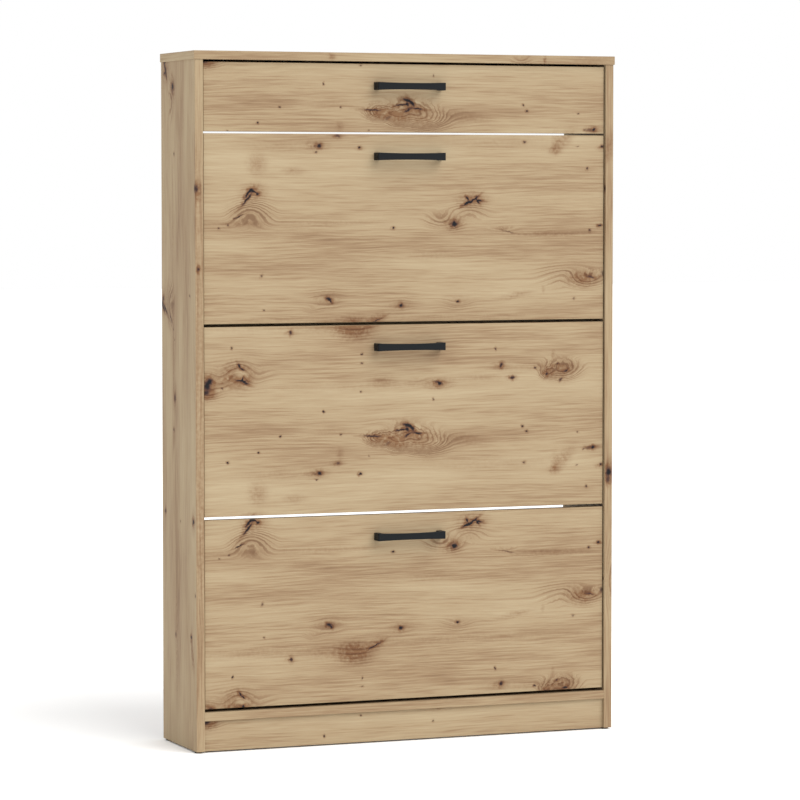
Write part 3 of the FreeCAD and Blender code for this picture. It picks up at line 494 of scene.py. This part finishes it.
    def cut(self, tree: Tree) -> Socket:
        """Lay the sheet on each face: edges are banded with a strip whose grain runs along them.

        Args:
            tree: node tree of the material.

        Returns:
            Millimetres along and across the sheet.
        """
        coords = add(tree, "TexCoord").outputs
        place = add(tree, "VectorMath", {0: coords["Object"], "Scale": 1 / MM}, operation="SCALE").outputs[0]
        axes = add(tree, "SeparateXYZ", {0: place}).outputs
        looks = add(tree, "VectorMath", {0: coords["Normal"]}, operation="ABSOLUTE").outputs[0]
        looks = add(tree, "SeparateXYZ", {0: looks}).outputs
        laid = []
        for facing in self.facings:
            flat = add(tree, "CombineXYZ", {0: axes[facing.along], 1: axes[facing.across]}).outputs[0]
            start = (*facing.start, 0.0)
            laid.append(add(tree, "VectorMath", {0: flat, 1: start}, operation="ADD").outputs[0])
        sheet = laid[Y]
        for axis in (X, Z):
            side = add(tree, "Math", {0: looks[axis], 1: MOSTLY}, operation="GREATER_THAN").outputs[0]
            sheet = add(tree, "Mix", {0: side, VECTOR_A: sheet, VECTOR_B: laid[axis]},
                        data_type="VECTOR").outputs[VECTOR_MIX]
        return sheet

    def sweep(self, tree: Tree, sheet: Socket) -> Socket:
        """Bend all the grain.

        Args:
            tree: node tree of the material.
            sheet: millimetres on the sheet.

        Returns:
            The place moved across the grain.
        """
        drawn = add(tree, "VectorMath", {0: sheet, 1: (1 / self.sway_stretch, 1.0, 1.0)},
                    operation="MULTIPLY").outputs[0]
        for sway in self.sways:
            noise = add(tree, "TexNoise", {"Vector": drawn, "Scale": 1 / sway.size, "Detail": sway.detail})
            sheet = stir(tree, sheet, noise.outputs["Color"], (0.0, sway.reach))
        return sheet

    def roll(self, tree: Tree, along: Socket, across: Socket) -> Socket:
        """Wrap the sheet round its printing cylinder, so that noise comes round without a seam.

        Args:
            tree: node tree of the material.
            along: millimetres along the grain.
            across: millimetres across it, after the knots have bent it.

        Returns:
            A point on a cylinder of radius one.
        """
        per_mm = math.tau / self.repeat
        angle = add(tree, "Math", {0: across, 1: per_mm}, operation="MULTIPLY").outputs[0]
        length = add(tree, "Math", {0: along, 1: per_mm}, operation="MULTIPLY").outputs[0]
        sine = add(tree, "Math", {0: angle}, operation="SINE").outputs[0]
        cosine = add(tree, "Math", {0: angle}, operation="COSINE").outputs[0]
        return add(tree, "CombineXYZ", {0: length, 1: cosine, 2: sine}).outputs[0]

    def layer(self, tree: Tree, rolled: Socket, grain: Grain) -> Socket:
        """Draw one layer of grain.

        Args:
            tree: node tree of the material.
            rolled: point on the printing cylinder.
            grain: the layer.

        Returns:
            A value about one half.
        """
        drawn = add(tree, "VectorMath", {0: rolled, 1: (1 / grain.stretch, 1.0, 1.0)},
                    operation="MULTIPLY").outputs[0]
        scale = self.repeat / math.tau / grain.width
        return add(tree, "TexNoise", {"Vector": drawn, "Scale": scale, "Detail": grain.detail,
                                      "Roughness": 0.55}).outputs[0]

    def growth_lines(self, tree: Tree, across: Socket, clouds: Socket, shift: Socket,
                     stain: Socket) -> Socket:
        """Draw the lines of late wood, strongest round the knots.

        Args:
            tree: node tree of the material.
            across: millimetres across the grain, bent by the knots.
            clouds: the cloudy layer, which spaces the lines unevenly.
            shift: millimetres that knots move the grain here.
            stain: how much they stain it here.

        Returns:
            How much the lines darken the tone.
        """
        line = self.late_wood
        phase = add(tree, "Math", {0: clouds, 1: line.uneven}, operation="MULTIPLY").outputs[0]
        phase = add(tree, "Math", {0: across, 1: math.tau / line.spacing, 2: phase},
                    operation="MULTIPLY_ADD").outputs[0]
        wave = add(tree, "Math", {0: phase}, operation="SINE").outputs[0]
        crest = add(tree, "MapRange", {"Value": wave, "From Min": line.flank},
                    interpolation_type="SMOOTHSTEP").outputs[0]
        moved = add(tree, "Math", {0: shift}, operation="ABSOLUTE").outputs[0]
        depth = add(tree, "Math", {0: moved, 1: line.bent, 2: line.plain},
                    operation="MULTIPLY_ADD").outputs[0]
        depth = add(tree, "Math", {0: stain, 1: line.stained, 2: depth},
                    operation="MULTIPLY_ADD").outputs[0]
        depth = add(tree, "Clamp", {"Value": depth, "Max": line.darkest}).outputs[0]
        return add(tree, "Math", {0: crest, 1: depth}, operation="MULTIPLY").outputs[0]

    def colour(self, tree: Tree, tone: Socket, tinge: Socket, dark: Socket) -> Socket:
        """Print the browns, the stains round the knots and the dark of the cracks.

        Args:
            tree: node tree of the material.
            tone: place on the ramp of browns, from late wood at 0 to early wood at 1.
            tinge: how stained the wood is.
            dark: how deep the cracks are.

        Returns:
            The colour of the print.
        """
        ground = add(tree, "ValToRGB", {0: tone})
        ramp = ground.color_ramp
        ramp.elements[0].color, ramp.elements[1].color = linear(self.umber), linear(self.pale)
        for place, code in ((0.28, self.brown), (0.56, self.tan)):
            ramp.elements.new(place).color = linear(code)
        tinge = add(tree, "Clamp", {"Value": tinge}).outputs[0]
        colour = add(tree, "Mix", {0: tinge, COLOUR_A: ground.outputs[0], COLOUR_B: linear(self.stain)},
                     data_type="RGBA", blend_type="MULTIPLY").outputs[COLOUR_MIX]
        for (low, high), code in ((self.bark_depth, self.bark), (self.core_depth, self.core)):
            depth = add(tree, "MapRange", {"Value": dark, "From Min": low, "From Max": high}).outputs[0]
            colour = add(tree, "Mix", {0: depth, COLOUR_A: colour, COLOUR_B: linear(code)},
                         data_type="RGBA").outputs[COLOUR_MIX]
        return colour

    def blemishes(self, tree: Tree, sheet: Socket) -> Socket:
        """Chain every knot and crack that this board shows.

        Args:
            tree: node tree of the material.
            sheet: millimetres on the sheet, ragged a little.

        Returns:
            The tally: shift of the grain in millimetres, brown stain, and dark of the cracks.
        """
        tally = add(tree, "CombineXYZ").outputs[0]
        for mark, height in self.shown() + [(mark, mark.across) for mark in self.banded]:
            group = knot_group() if isinstance(mark, Knot) else crack_group()
            tally = add(tree, "Group", {
                "Sheet": sheet, "Tally": tally, "Middle": (mark.along, height, 0.0),
                "Reach": (*mark.reach, 1.0), "Turn": (0.0, 0.0, math.radians(mark.turn)), **mark.values(),
            }, node_tree=group).outputs[0]
        return tally

    def shown(self) -> list[tuple[Mark, float]]:
        """Pick the marks whose print falls in the window.

        Returns:
            Each mark that shows, with its height on the board's own part of the sheet.
        """
        low, high = self.window
        found = []
        for mark in self.marks:
            first = math.ceil((low - max(mark.reach) - mark.across) / self.repeat)
            last = math.floor((high + max(mark.reach) - mark.across) / self.repeat)
            found += [(mark, mark.across + turn * self.repeat) for turn in range(first, last + 1)]
        return found


def mark_group(name: str, own: tuple[str, ...]) -> tuple[Tree, Any, Socket, Socket]:
    """Start the node group of one mark on the sheet.

    Every group hands its tally to the next. The tally is also mixed, far too thinly to matter, into
    the place it reads, so the renderer works through the marks one by one in its small memory.

    Args:
        name: name of the group.
        own: names of the inputs that hold the mark's own values.

    Returns:
        The group, its input sockets, and the place and the distance from the mark in half sizes.
    """
    group = bpy.data.node_groups.new(name, "ShaderNodeTree")
    for label in ("Sheet", "Tally", "Middle", "Reach", "Turn"):
        group.interface.new_socket(label, in_out="INPUT", socket_type="NodeSocketVector")
    for label in own:
        group.interface.new_socket(label, in_out="INPUT", socket_type="NodeSocketFloat")
    group.interface.new_socket("Tally", in_out="OUTPUT", socket_type="NodeSocketVector")
    entry = group.nodes.new("NodeGroupInput").outputs
    thin = (1e-12, 1e-12, 1e-12)
    place = add(group, "VectorMath", {0: entry["Tally"], 1: thin, 2: entry["Sheet"]},
                operation="MULTIPLY_ADD").outputs[0]
    local = add(group, "Mapping", {"Vector": place, "Location": entry["Middle"], "Rotation": entry["Turn"],
                                   "Scale": entry["Reach"]}, vector_type="TEXTURE").outputs[0]
    far = add(group, "VectorMath", {0: local}, operation="LENGTH").outputs["Value"]
    return group, entry, local, far


def knot_group() -> Tree:
    """Make or find the nodes of one knot: how it bends the lines and stains the wood.

    Returns:
        The node group.
    """
    if "oak_knot" in bpy.data.node_groups:
        return bpy.data.node_groups["oak_knot"]
    group, entry, local, far = mark_group("oak_knot", ("Eye", "Rings", "Brown"))
    near = add(group, "MapRange", {"Value": far, "To Min": 1.0, "To Max": 0.0},
               interpolation_type="SMOOTHSTEP").outputs[0]
    height = add(group, "SeparateXYZ", {0: local}).outputs[Y]
    push = add(group, "Math", {0: height, 1: entry["Eye"], 2: entry["Rings"]},
               operation="MULTIPLY_ADD").outputs[0]
    gift = add(group, "CombineXYZ", {0: push, 1: entry["Brown"]}).outputs[0]
    tally = add(group, "VectorMath", {0: near, 1: gift, 2: entry["Tally"]},
                operation="MULTIPLY_ADD").outputs[0]
    group.links.new(tally, group.nodes.new("NodeGroupOutput").inputs["Tally"])
    return group


def crack_group() -> Tree:
    """Make or find the nodes of one crack: a dark lens in a fainter brown halo.

    Returns:
        The node group.
    """
    if "oak_crack" in bpy.data.node_groups:
        return bpy.data.node_groups["oak_crack"]
    group, entry, _, far = mark_group("oak_crack", ("Dark",))
    faded = []
    for start, end, full in ((0.5, 2.3, 0.5), (0.2, 1.15, 1.0)):  # the halo, then the lens, in half sizes
        faded.append(add(group, "MapRange", {"Value": far, "From Min": start, "From Max": end,
                                             "To Min": full, "To Max": 0.0},
                         interpolation_type="SMOOTHSTEP").outputs[0])
    gift = add(group, "CombineXYZ", {1: faded[0], 2: faded[1]}).outputs[0]
    tally = add(group, "VectorMath", {0: gift, 1: entry["Dark"], 2: entry["Tally"]},
                operation="MULTIPLY_ADD").outputs[0]
    group.links.new(tally, group.nodes.new("NodeGroupOutput").inputs["Tally"])
    return group


# ---------------------------------------------------------------------------------------------
# The other finishes
# ---------------------------------------------------------------------------------------------

@dataclass(frozen=True)
class WhiteMelamine:
    """White melamine-faced chipboard: a hard satin skin pressed against a finely pebbled plate.

    The pebbles soften its highlights, and its white drifts a shade from place to place.

    Attributes:
        name: name of the material.
        colour, shade: its white, and the shade that it drifts to.
        pebble: millimetres across one pebble of the press plate.
        drift: millimetres across one patch of the shade.
    """

    name: str = "white_melamine"
    colour: str = "E4E2DC"
    shade: str = "DAD8D1"
    pebble: float = 0.9
    drift: float = 60.0

    def make(self) -> bpy.types.Material:
        """Build the material.

        Returns:
            The material.
        """
        material, tree, shader = blank(self.name)
        place = add(tree, "TexCoord").outputs["Object"]
        pebbles = add(tree, "TexVoronoi", {"Vector": place, "Scale": 1 / (self.pebble * MM)}).outputs[0]
        patch = add(tree, "TexNoise", {"Vector": place, "Scale": 1 / (self.drift * MM),
                                       "Detail": 2.0}).outputs[0]
        colour = add(tree, "Mix", {0: patch, COLOUR_A: linear(self.colour), COLOUR_B: linear(self.shade)},
                     data_type="RGBA").outputs[COLOUR_MIX]
        bump = add(tree, "Bump", {"Height": pebbles, "Strength": 0.15, "Distance": 0.05 * MM}).outputs[0]
        wire(tree, shader, base_color=colour, normal=bump, ior=1.5, roughness=0.45)
        return material


@dataclass(frozen=True)
class Hardboard:
    """Thin wet-pressed hardboard: one face rolled with white paint, the rest raw brown fibre.

    The paint is an even satin, and the raw faces are dull and flecked.

    Attributes:
        name: name of the material.
        painted: direction that the painted face looks in.
        paint, raw, fleck: colours of the paint, the fibre and its darker flecks.
        fibre: millimetres across one clump of fibre.
        raw_roughness, paint_roughness: how dull the two faces are.
    """

    name: str
    painted: tuple[float, float, float]
    paint: str = "E3E1DB"
    raw: str = "8A6748"
    fleck: str = "5F432D"
    fibre: float = 1.6
    raw_roughness: float = 0.85
    paint_roughness: float = 0.5

    def make(self) -> bpy.types.Material:
        """Build the material.

        Returns:
            The material.
        """
        material, tree, shader = blank(self.name)
        coords = add(tree, "TexCoord").outputs
        fibres = add(tree, "TexNoise", {"Vector": coords["Object"], "Scale": 1 / (self.fibre * MM),
                                        "Detail": 4.0, "Roughness": 0.7}).outputs[0]
        flecks = add(tree, "MapRange", {"Value": fibres, "From Min": 0.35, "From Max": 0.65}).outputs[0]
        raw = add(tree, "Mix", {0: flecks, COLOUR_A: linear(self.raw), COLOUR_B: linear(self.fleck)},
                  data_type="RGBA").outputs[COLOUR_MIX]
        turned = add(tree, "VectorMath", {0: coords["Normal"], 1: self.painted}, operation="DOT_PRODUCT")
        front = add(tree, "Math", {0: turned.outputs["Value"], 1: MOSTLY},
                    operation="GREATER_THAN").outputs[0]
        colour = add(tree, "Mix", {0: front, COLOUR_A: raw, COLOUR_B: linear(self.paint)},
                     data_type="RGBA").outputs[COLOUR_MIX]
        dull = add(tree, "MapRange", {"Value": front, "To Min": self.raw_roughness,
                                      "To Max": self.paint_roughness}).outputs[0]
        bump = add(tree, "Bump", {"Height": fibres, "Strength": 0.2, "Distance": 0.08 * MM}).outputs[0]
        wire(tree, shader, base_color=colour, roughness=dull, normal=bump, ior=1.5)
        return material


@dataclass(frozen=True)
class GrainedBlack:
    """A plain black finish with a fine grained skin, which breaks up its shine.

    Attributes:
        name: name of the material.
        colour: main colour.
        high: colour of the painted highlight on the skin's high points.
        grain: millimetres across one grain of the skin, coarser than the real one so that it shows.
        depth: millimetres the grain stands up.
        roughness: how dull it is.
        level: strength of its mirror layer.
        spread: how much the roughness strays to either side.
    """

    name: str
    colour: str
    high: str
    grain: float
    depth: float
    roughness: float
    level: float
    spread: float = 0.05

    def make(self) -> bpy.types.Material:
        """Build the material.

        Returns:
            The material.
        """
        material, tree, shader = blank(self.name)
        place = add(tree, "TexCoord").outputs["Object"]
        skin = add(tree, "TexNoise", {"Vector": place, "Scale": 1 / (self.grain * MM),
                                      "Detail": 3.0}).outputs[0]
        # Painted highlight: the grain's high points get the lighter colour, as if they catch the light.
        painted_highlight_tops = add(tree, "MapRange", {"Value": skin, "From Min": 0.4, "From Max": 0.75}).outputs[0]
        colour = add(tree, "Mix", {0: painted_highlight_tops, COLOUR_A: linear(self.colour), COLOUR_B: linear(self.high)},
                     data_type="RGBA").outputs[COLOUR_MIX]
        dull = add(tree, "MapRange", {"Value": skin, **NOISE_RANGE, "To Min": self.roughness - self.spread,
                                      "To Max": self.roughness + self.spread}).outputs[0]
        bump = add(tree, "Bump", {"Height": skin, "Strength": 0.4, "Distance": self.depth * MM}).outputs[0]
        wire(tree, shader, base_color=colour, roughness=dull, normal=bump, ior=1.5,
             specular_ior_level=self.level)
        return material


@dataclass(frozen=True)
class ZincPlate:
    """Zinc-plated steel: barrel plated and blue passivated, so a soft cloudy silver.

    Attributes:
        name: name of the material.
        colour, cloudy: its silver, and the greyer tone of its clouds.
        patch: millimetres across one cloud.
        bright, dull: roughness of its brightest and of its dullest clouds.
    """

    name: str = "zinc_plated_steel"
    colour: str = "B4B8BC"
    cloudy: str = "9DA3AA"
    patch: float = 3.0
    bright: float = 0.28
    dull: float = 0.42

    def make(self) -> bpy.types.Material:
        """Build the material.

        Returns:
            The material.
        """
        material, tree, shader = blank(self.name)
        place = add(tree, "TexCoord").outputs["Object"]
        clouds = add(tree, "TexNoise", {"Vector": place, "Scale": 1 / (self.patch * MM),
                                        "Detail": 3.0}).outputs[0]
        colour = add(tree, "Mix", {0: clouds, COLOUR_A: linear(self.colour), COLOUR_B: linear(self.cloudy)},
                     data_type="RGBA").outputs[COLOUR_MIX]
        dull = add(tree, "MapRange", {"Value": clouds, **NOISE_RANGE, "To Min": self.bright,
                                      "To Max": self.dull}).outputs[0]
        wire(tree, shader, base_color=colour, roughness=dull, metallic=1.0)
        return material


@dataclass(frozen=True)
class BeechDowel:
    """Turned beech dowel: pale pinkish wood with short fine rays, left raw and so quite dull.

    Attributes:
        name: name of the material.
        light, dark: colours of the wood and of its rays.
        fibre, length: millimetres across one ray, and along it.
    """

    name: str = "raw_beech"
    light: str = "CFAE80"
    dark: str = "B48C5E"
    fibre: float = 0.6
    length: float = 8.0

    def make(self) -> bpy.types.Material:
        """Build the material.

        Returns:
            The material.
        """
        material, tree, shader = blank(self.name)
        place = add(tree, "TexCoord").outputs["Object"]
        scale = tuple(1 / (size * MM) for size in (self.length, self.fibre, self.fibre))
        drawn = add(tree, "Mapping", {"Vector": place, "Scale": scale}).outputs[0]
        rays = add(tree, "TexNoise", {"Vector": drawn, "Scale": 1.0, "Detail": 3.0}).outputs[0]
        colour = add(tree, "Mix", {0: rays, COLOUR_A: linear(self.light), COLOUR_B: linear(self.dark)},
                     data_type="RGBA").outputs[COLOUR_MIX]
        wire(tree, shader, base_color=colour, ior=1.5, roughness=0.7)
        return material


@dataclass(frozen=True)
class Finishes:
    """Every finish of the cabinet that more than one piece wears, made once."""

    shelf: bpy.types.Material
    white: bpy.types.Material
    back: bpy.types.Material
    tray: bpy.types.Material
    powder: bpy.types.Material
    plastic: bpy.types.Material
    zinc: bpy.types.Material
    beech: bpy.types.Material

    @classmethod
    def make(cls) -> "Finishes":
        """Build them all.

        Returns:
            The finishes.
        """
        # Polyester powder baked on the handles: its fine peel leaves a soft, nearly matt black.
        # The second colour is a painted highlight on the peel's high points.
        powder = GrainedBlack("black_powder_coat", "101214", "1A1D20", grain=0.5, depth=0.03,
                              roughness=0.5, level=0.13)
        # Plastic from a tool with an etched grain: a satin black that keeps some shine.
        # The second colour is a painted highlight on the grain's high points.
        plastic = GrainedBlack("black_moulded_plastic", "17181A", "222325", grain=0.35, depth=0.02,
                               roughness=0.48, level=0.4)
        return cls(
            shelf=shelf_decor((160.0, 150.0)).make(),
            white=WhiteMelamine().make(),
            back=Hardboard("hardboard_back", painted=(0, -1, 0)).make(),
            tray=Hardboard("hardboard_tray", painted=(0, 0, 1)).make(),
            powder=powder.make(),
            plastic=plastic.make(),
            zinc=ZincPlate().make(),
            beech=BeechDowel().make(),
        )


# ---------------------------------------------------------------------------------------------
# Sub-assemblies
# ---------------------------------------------------------------------------------------------

def span(node: str, axis: int, base: float = 0.0) -> tuple[float, float]:
    """Lowest and highest millimetre of a node along an axis, measured from a base."""
    low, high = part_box(node)
    return low[axis] / MM - base, high[axis] / MM - base


def dress(frame: dict[str, Any], names: list[str], material: bpy.types.Material) -> None:
    """Give CAD pieces their finish.

    Args:
        names: names of the nodes.
        material: finish they get.
    """
    for name in names:
        piece = frame["nodes"][name]
        if not piece.material_slots:
            piece.data.materials.append(material)
        for slot in piece.material_slots:
            slot.material = material
        LOG.info("%s wears %s", name, material.name)


def front_decor(name: str, window: tuple[float, float], base: float) -> OakDecor:
    """Decor of a board that stands upright with its grain running across.

    Args:
        name: name of the material.
        window: millimetres above the panels' lower ends that the board covers.
        base: height of the panels' lower ends in the frame, in millimetres.

    Returns:
        The decor, cut from the one sheet that all the fronts share.
    """
    end_strip, long_strip = 900.0, 40.0  # where the bandings are cut, in millimetres along the sheet
    low, high = window
    return OakDecor(name, (Facing(Z, Y, (end_strip, low)), Facing(X, Z, (0.0, -base)),
                           Facing(X, Y, (long_strip, high))), window)


def shelf_decor(start: tuple[float, float]) -> OakDecor:
    """Decor of the shelves and of the flaps' inner boards, with no knot, grain from side to side.

    Args:
        start: millimetres on the sheet where the bottom shelf's front edge is cut.

    Returns:
        The decor.
    """
    front = span("bottom_shelf", Y)[0]
    high = span("bottom_shelf", Z)[1]
    along, across = start
    banding = (along, across - high)
    return OakDecor("oak_shelf", (Facing(Y, Z, banding), Facing(X, Z, banding),
                                  Facing(X, Y, (along, across - front))), marks=())


@dataclass
class Carcass:
    """The fixed box: side panels, top, shelves, plinth, back boards and their fastenings.

    Attributes:
        side_start: millimetres on the sheet where the side panels' lower front corner is cut.
        left_edge, right_edge: the same for the banding on their front edges.
        top_start: the same for the front edge of the top board, at the frame's middle.
    """

    side_start: tuple[float, float] = (-1135.0, 236.0)
    left_edge: tuple[float, float] = (-1100.0, 60.0)
    right_edge: tuple[float, float] = (-1100.0, 140.0)
    top_start: tuple[float, float] = (60.0, 300.0)

    def dress(self, frame: dict[str, Any], finishes: Finishes, base: float) -> None:
        """Give each fixed piece its finish.

        Args:
            finishes: the shared finishes.
            base: height of the panels' lower ends in the frame, in millimetres.
        """
        for side in ("left", "right"):
            dress(frame, [f"side_panel_{side}"], self.side_decor(side, base).make())
        dress(frame, ["top_board"], self.top_decor().make())
        dress(frame, ["middle_shelf", "bottom_shelf"], finishes.shelf)
        dress(frame, ["plinth"], front_decor("oak_plinth", span("plinth", Z, base), base).make())
        backs = [f"back_board_{place}" for place in ("bottom", "middle", "top", "drawer")]
        dress(frame, backs, finishes.back)
        dress(frame, ["cam_bolts", "cam_discs", "back_nails", "wall_brackets", "carcass_screws"],
              finishes.zinc)
        dress(frame, ["wood_dowels"], finishes.beech)
        dress(frame, ["floor_glides", "drawer_guide_left", "drawer_guide_right"], finishes.plastic)

    def side_decor(self, side: str, base: float) -> OakDecor:
        """Decor of a side panel, whose grain stands upright.

        Args:
            side: left or right.
            base: height of the panel's lower end in the frame, in millimetres.

        Returns:
            The decor.
        """
        node = f"side_panel_{side}"
        front, rear = span(node, Y)
        edge = span(node, X)[0]
        along, across = self.side_start
        faces = (along - base, across - front)
        start, banded = (self.left_edge, LEFT_BANDING) if side == "left" else (self.right_edge, RIGHT_BANDING)
        banding = (start[0] - base, start[1] - edge)
        return OakDecor(f"oak_side_{side}", (Facing(Z, Y, faces), Facing(Z, X, banding), Facing(Y, X, faces)),
                        (across, across + rear - front), KNOTS + SIDE_MARKS + CRACKS, banded)

    def top_decor(self) -> OakDecor:
        """Decor of the top board, grain from side to side.

        Returns:
            The decor.
        """
        front, rear = span("top_board", Y)
        low, high = span("top_board", Z)
        along, across = self.top_start
        banding = (along, across - high)
        faces = (along, across - front)
        return OakDecor("oak_top", (Facing(Y, Z, banding), Facing(X, Z, banding), Facing(X, Y, faces)),
                        (across - (high - low), across + rear - front), banded=TOP_BANDING)


@dataclass
class Drawer:
    """The drawer: an oak front with a white box behind it.

    Attributes:
        name: what the names of its pieces start with.
    """

    name: str = "drawer"

    def dress(self, frame: dict[str, Any], finishes: Finishes, base: float) -> None:
        """Give each drawer piece its finish.

        Args:
            finishes: the shared finishes.
            base: height of the panels' lower ends in the frame, in millimetres.
        """
        front = f"{self.name}_front"
        dress(frame, [front], front_decor(f"oak_{front}", span(front, Z, base), base).make())
        worn = {
            finishes.white: ("side_left", "side_right", "back"),
            finishes.tray: ("bottom",),
            finishes.zinc: ("box_screws", "cam_bolts", "cam_discs", "handle_screws"),
            finishes.plastic: ("stops",),
            finishes.powder: ("handle",),
        }
        for finish, parts in worn.items():
            dress(frame, [f"{self.name}_{part}" for part in parts], finish)


@dataclass
class ShoeFlap:
    """A tilting flap: an oak front that carries an insert for shoes between two moulded side plates.

    Attributes:
        name: what the names of its pieces start with, its bearings on the carcass among them.
    """

    name: str

    def dress(self, frame: dict[str, Any], finishes: Finishes, base: float) -> None:
        """Give each piece of the flap and its bearings its finish.

        Args:
            finishes: the shared finishes.
            base: height of the panels' lower ends in the frame, in millimetres.
        """
        front = f"{self.name}_front"
        dress(frame, [front], front_decor(f"oak_{front}", span(front, Z, base), base).make())
        worn = {
            finishes.shelf: ("insert_floor", "back_rail"),
            finishes.plastic: ("side_plate_left", "side_plate_right", "bearing_left", "bearing_right"),
            finishes.zinc: ("handle_screws", "insert_screws"),
            finishes.powder: ("handle",),
        }
        for finish, parts in worn.items():
            dress(frame, [f"{self.name}_{part}" for part in parts], finish)


# ---------------------------------------------------------------------------------------------
# Studio
# ---------------------------------------------------------------------------------------------

@dataclass(frozen=True)
class Studio:
    """A white sweep under an even white sky, with one broad soft key from the front right.

    Attributes:
        floor_side: side of the floor in metres.
        floor_colour: colour of the floor.
        tooth: millimetres across one grain of its paper.
        sky: strength of the sky.
        key: strength of the key light.
        key_from: direction that the key comes from.
        key_width: degrees that the key spans, which softens its shadows.
        camera_at: place of the camera in metres.
        yaw, pitch: degrees that the camera looks to its right of +Y and downwards.
        lens, sensor: focal length and width of the sensor in millimetres.
    """

    floor_side: float = 60.0
    floor_colour: str = "FCFCFB"
    tooth: float = 4.0
    sky: float = 1.0
    key: float = 2.22
    key_from: tuple[float, float, float] = (1.3, -2.2, 2.4)
    key_width: float = 50.0
    camera_at: tuple[float, float, float] = (-2.58493, -6.44374, 1.04194)
    yaw: float = 21.9917
    pitch: float = 3.2993
    lens: float = 164.364
    sensor: float = 36.0

    def build(self) -> None:
        """Set up the stage."""
        self.floor()
        self.lights()
        self.camera()
        bpy.context.scene.view_settings.view_transform = "Standard"

    def lights(self) -> None:
        """Make the sky and the key light."""
        world = bpy.data.worlds.new("white_sky")
        world.use_nodes = True
        background = world.node_tree.nodes["Background"].inputs
        background["Color"].default_value = (1.0, 1.0, 1.0, 1.0)
        background["Strength"].default_value = self.sky
        bpy.context.scene.world = world
        lamp = bpy.data.lights.new("key", "SUN")
        lamp.energy, lamp.angle = self.key, math.radians(self.key_width)
        key = bpy.data.objects.new("key", lamp)
        key.rotation_euler = Vector(self.key_from).to_track_quat("Z", "Y").to_euler()
        bpy.context.scene.collection.objects.link(key)

    def camera(self) -> None:
        """Place the camera."""
        lens = bpy.data.cameras.new("camera")
        lens.lens, lens.sensor_width = self.lens, self.sensor
        lens.clip_start, lens.clip_end = 0.1, 100.0
        camera = bpy.data.objects.new("camera", lens)
        camera.location = self.camera_at
        camera.rotation_euler = Euler((math.radians(90 - self.pitch), 0.0, math.radians(-self.yaw)))
        bpy.context.scene.collection.objects.link(camera)
        bpy.context.scene.camera = camera

    def floor(self) -> None:
        """Lay the floor at the frame's lowest level."""
        mesh = bpy.data.meshes.new("floor")
        shape = bmesh.new()
        bmesh.ops.create_grid(shape, x_segments=1, y_segments=1, size=self.floor_side / 2)
        shape.to_mesh(mesh)
        shape.free()
        plate = bpy.data.objects.new("floor", mesh)
        bpy.context.scene.collection.objects.link(plate)
        material, tree, shader = blank("paper_sweep")
        place = add(tree, "TexCoord").outputs["Object"]
        tooth = add(tree, "TexNoise", {"Vector": place, "Scale": 1 / (self.tooth * MM),
                                       "Detail": 2.0}).outputs[0]
        bump = add(tree, "Bump", {"Height": tooth, "Strength": 0.05, "Distance": 0.1 * MM}).outputs[0]
        wire(tree, shader, base_color=linear(self.floor_colour), normal=bump, roughness=0.9,
             specular_ior_level=0.1)
        mesh.materials.append(material)


def main() -> None:
    """Build the looks in order."""
    logging.basicConfig(level=logging.INFO, format="%(name)s: %(message)s")
    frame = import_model()
    finishes = Finishes.make()
    base = span("side_panel_left", Z)[0]
    Carcass().dress(frame, finishes, base)
    Drawer().dress(frame, finishes, base)
    for place in ("bottom", "middle", "top"):
        ShoeFlap(f"flap_{place}").dress(frame, finishes, base)
    Studio().build()


if __name__ == "__main__":
    main()
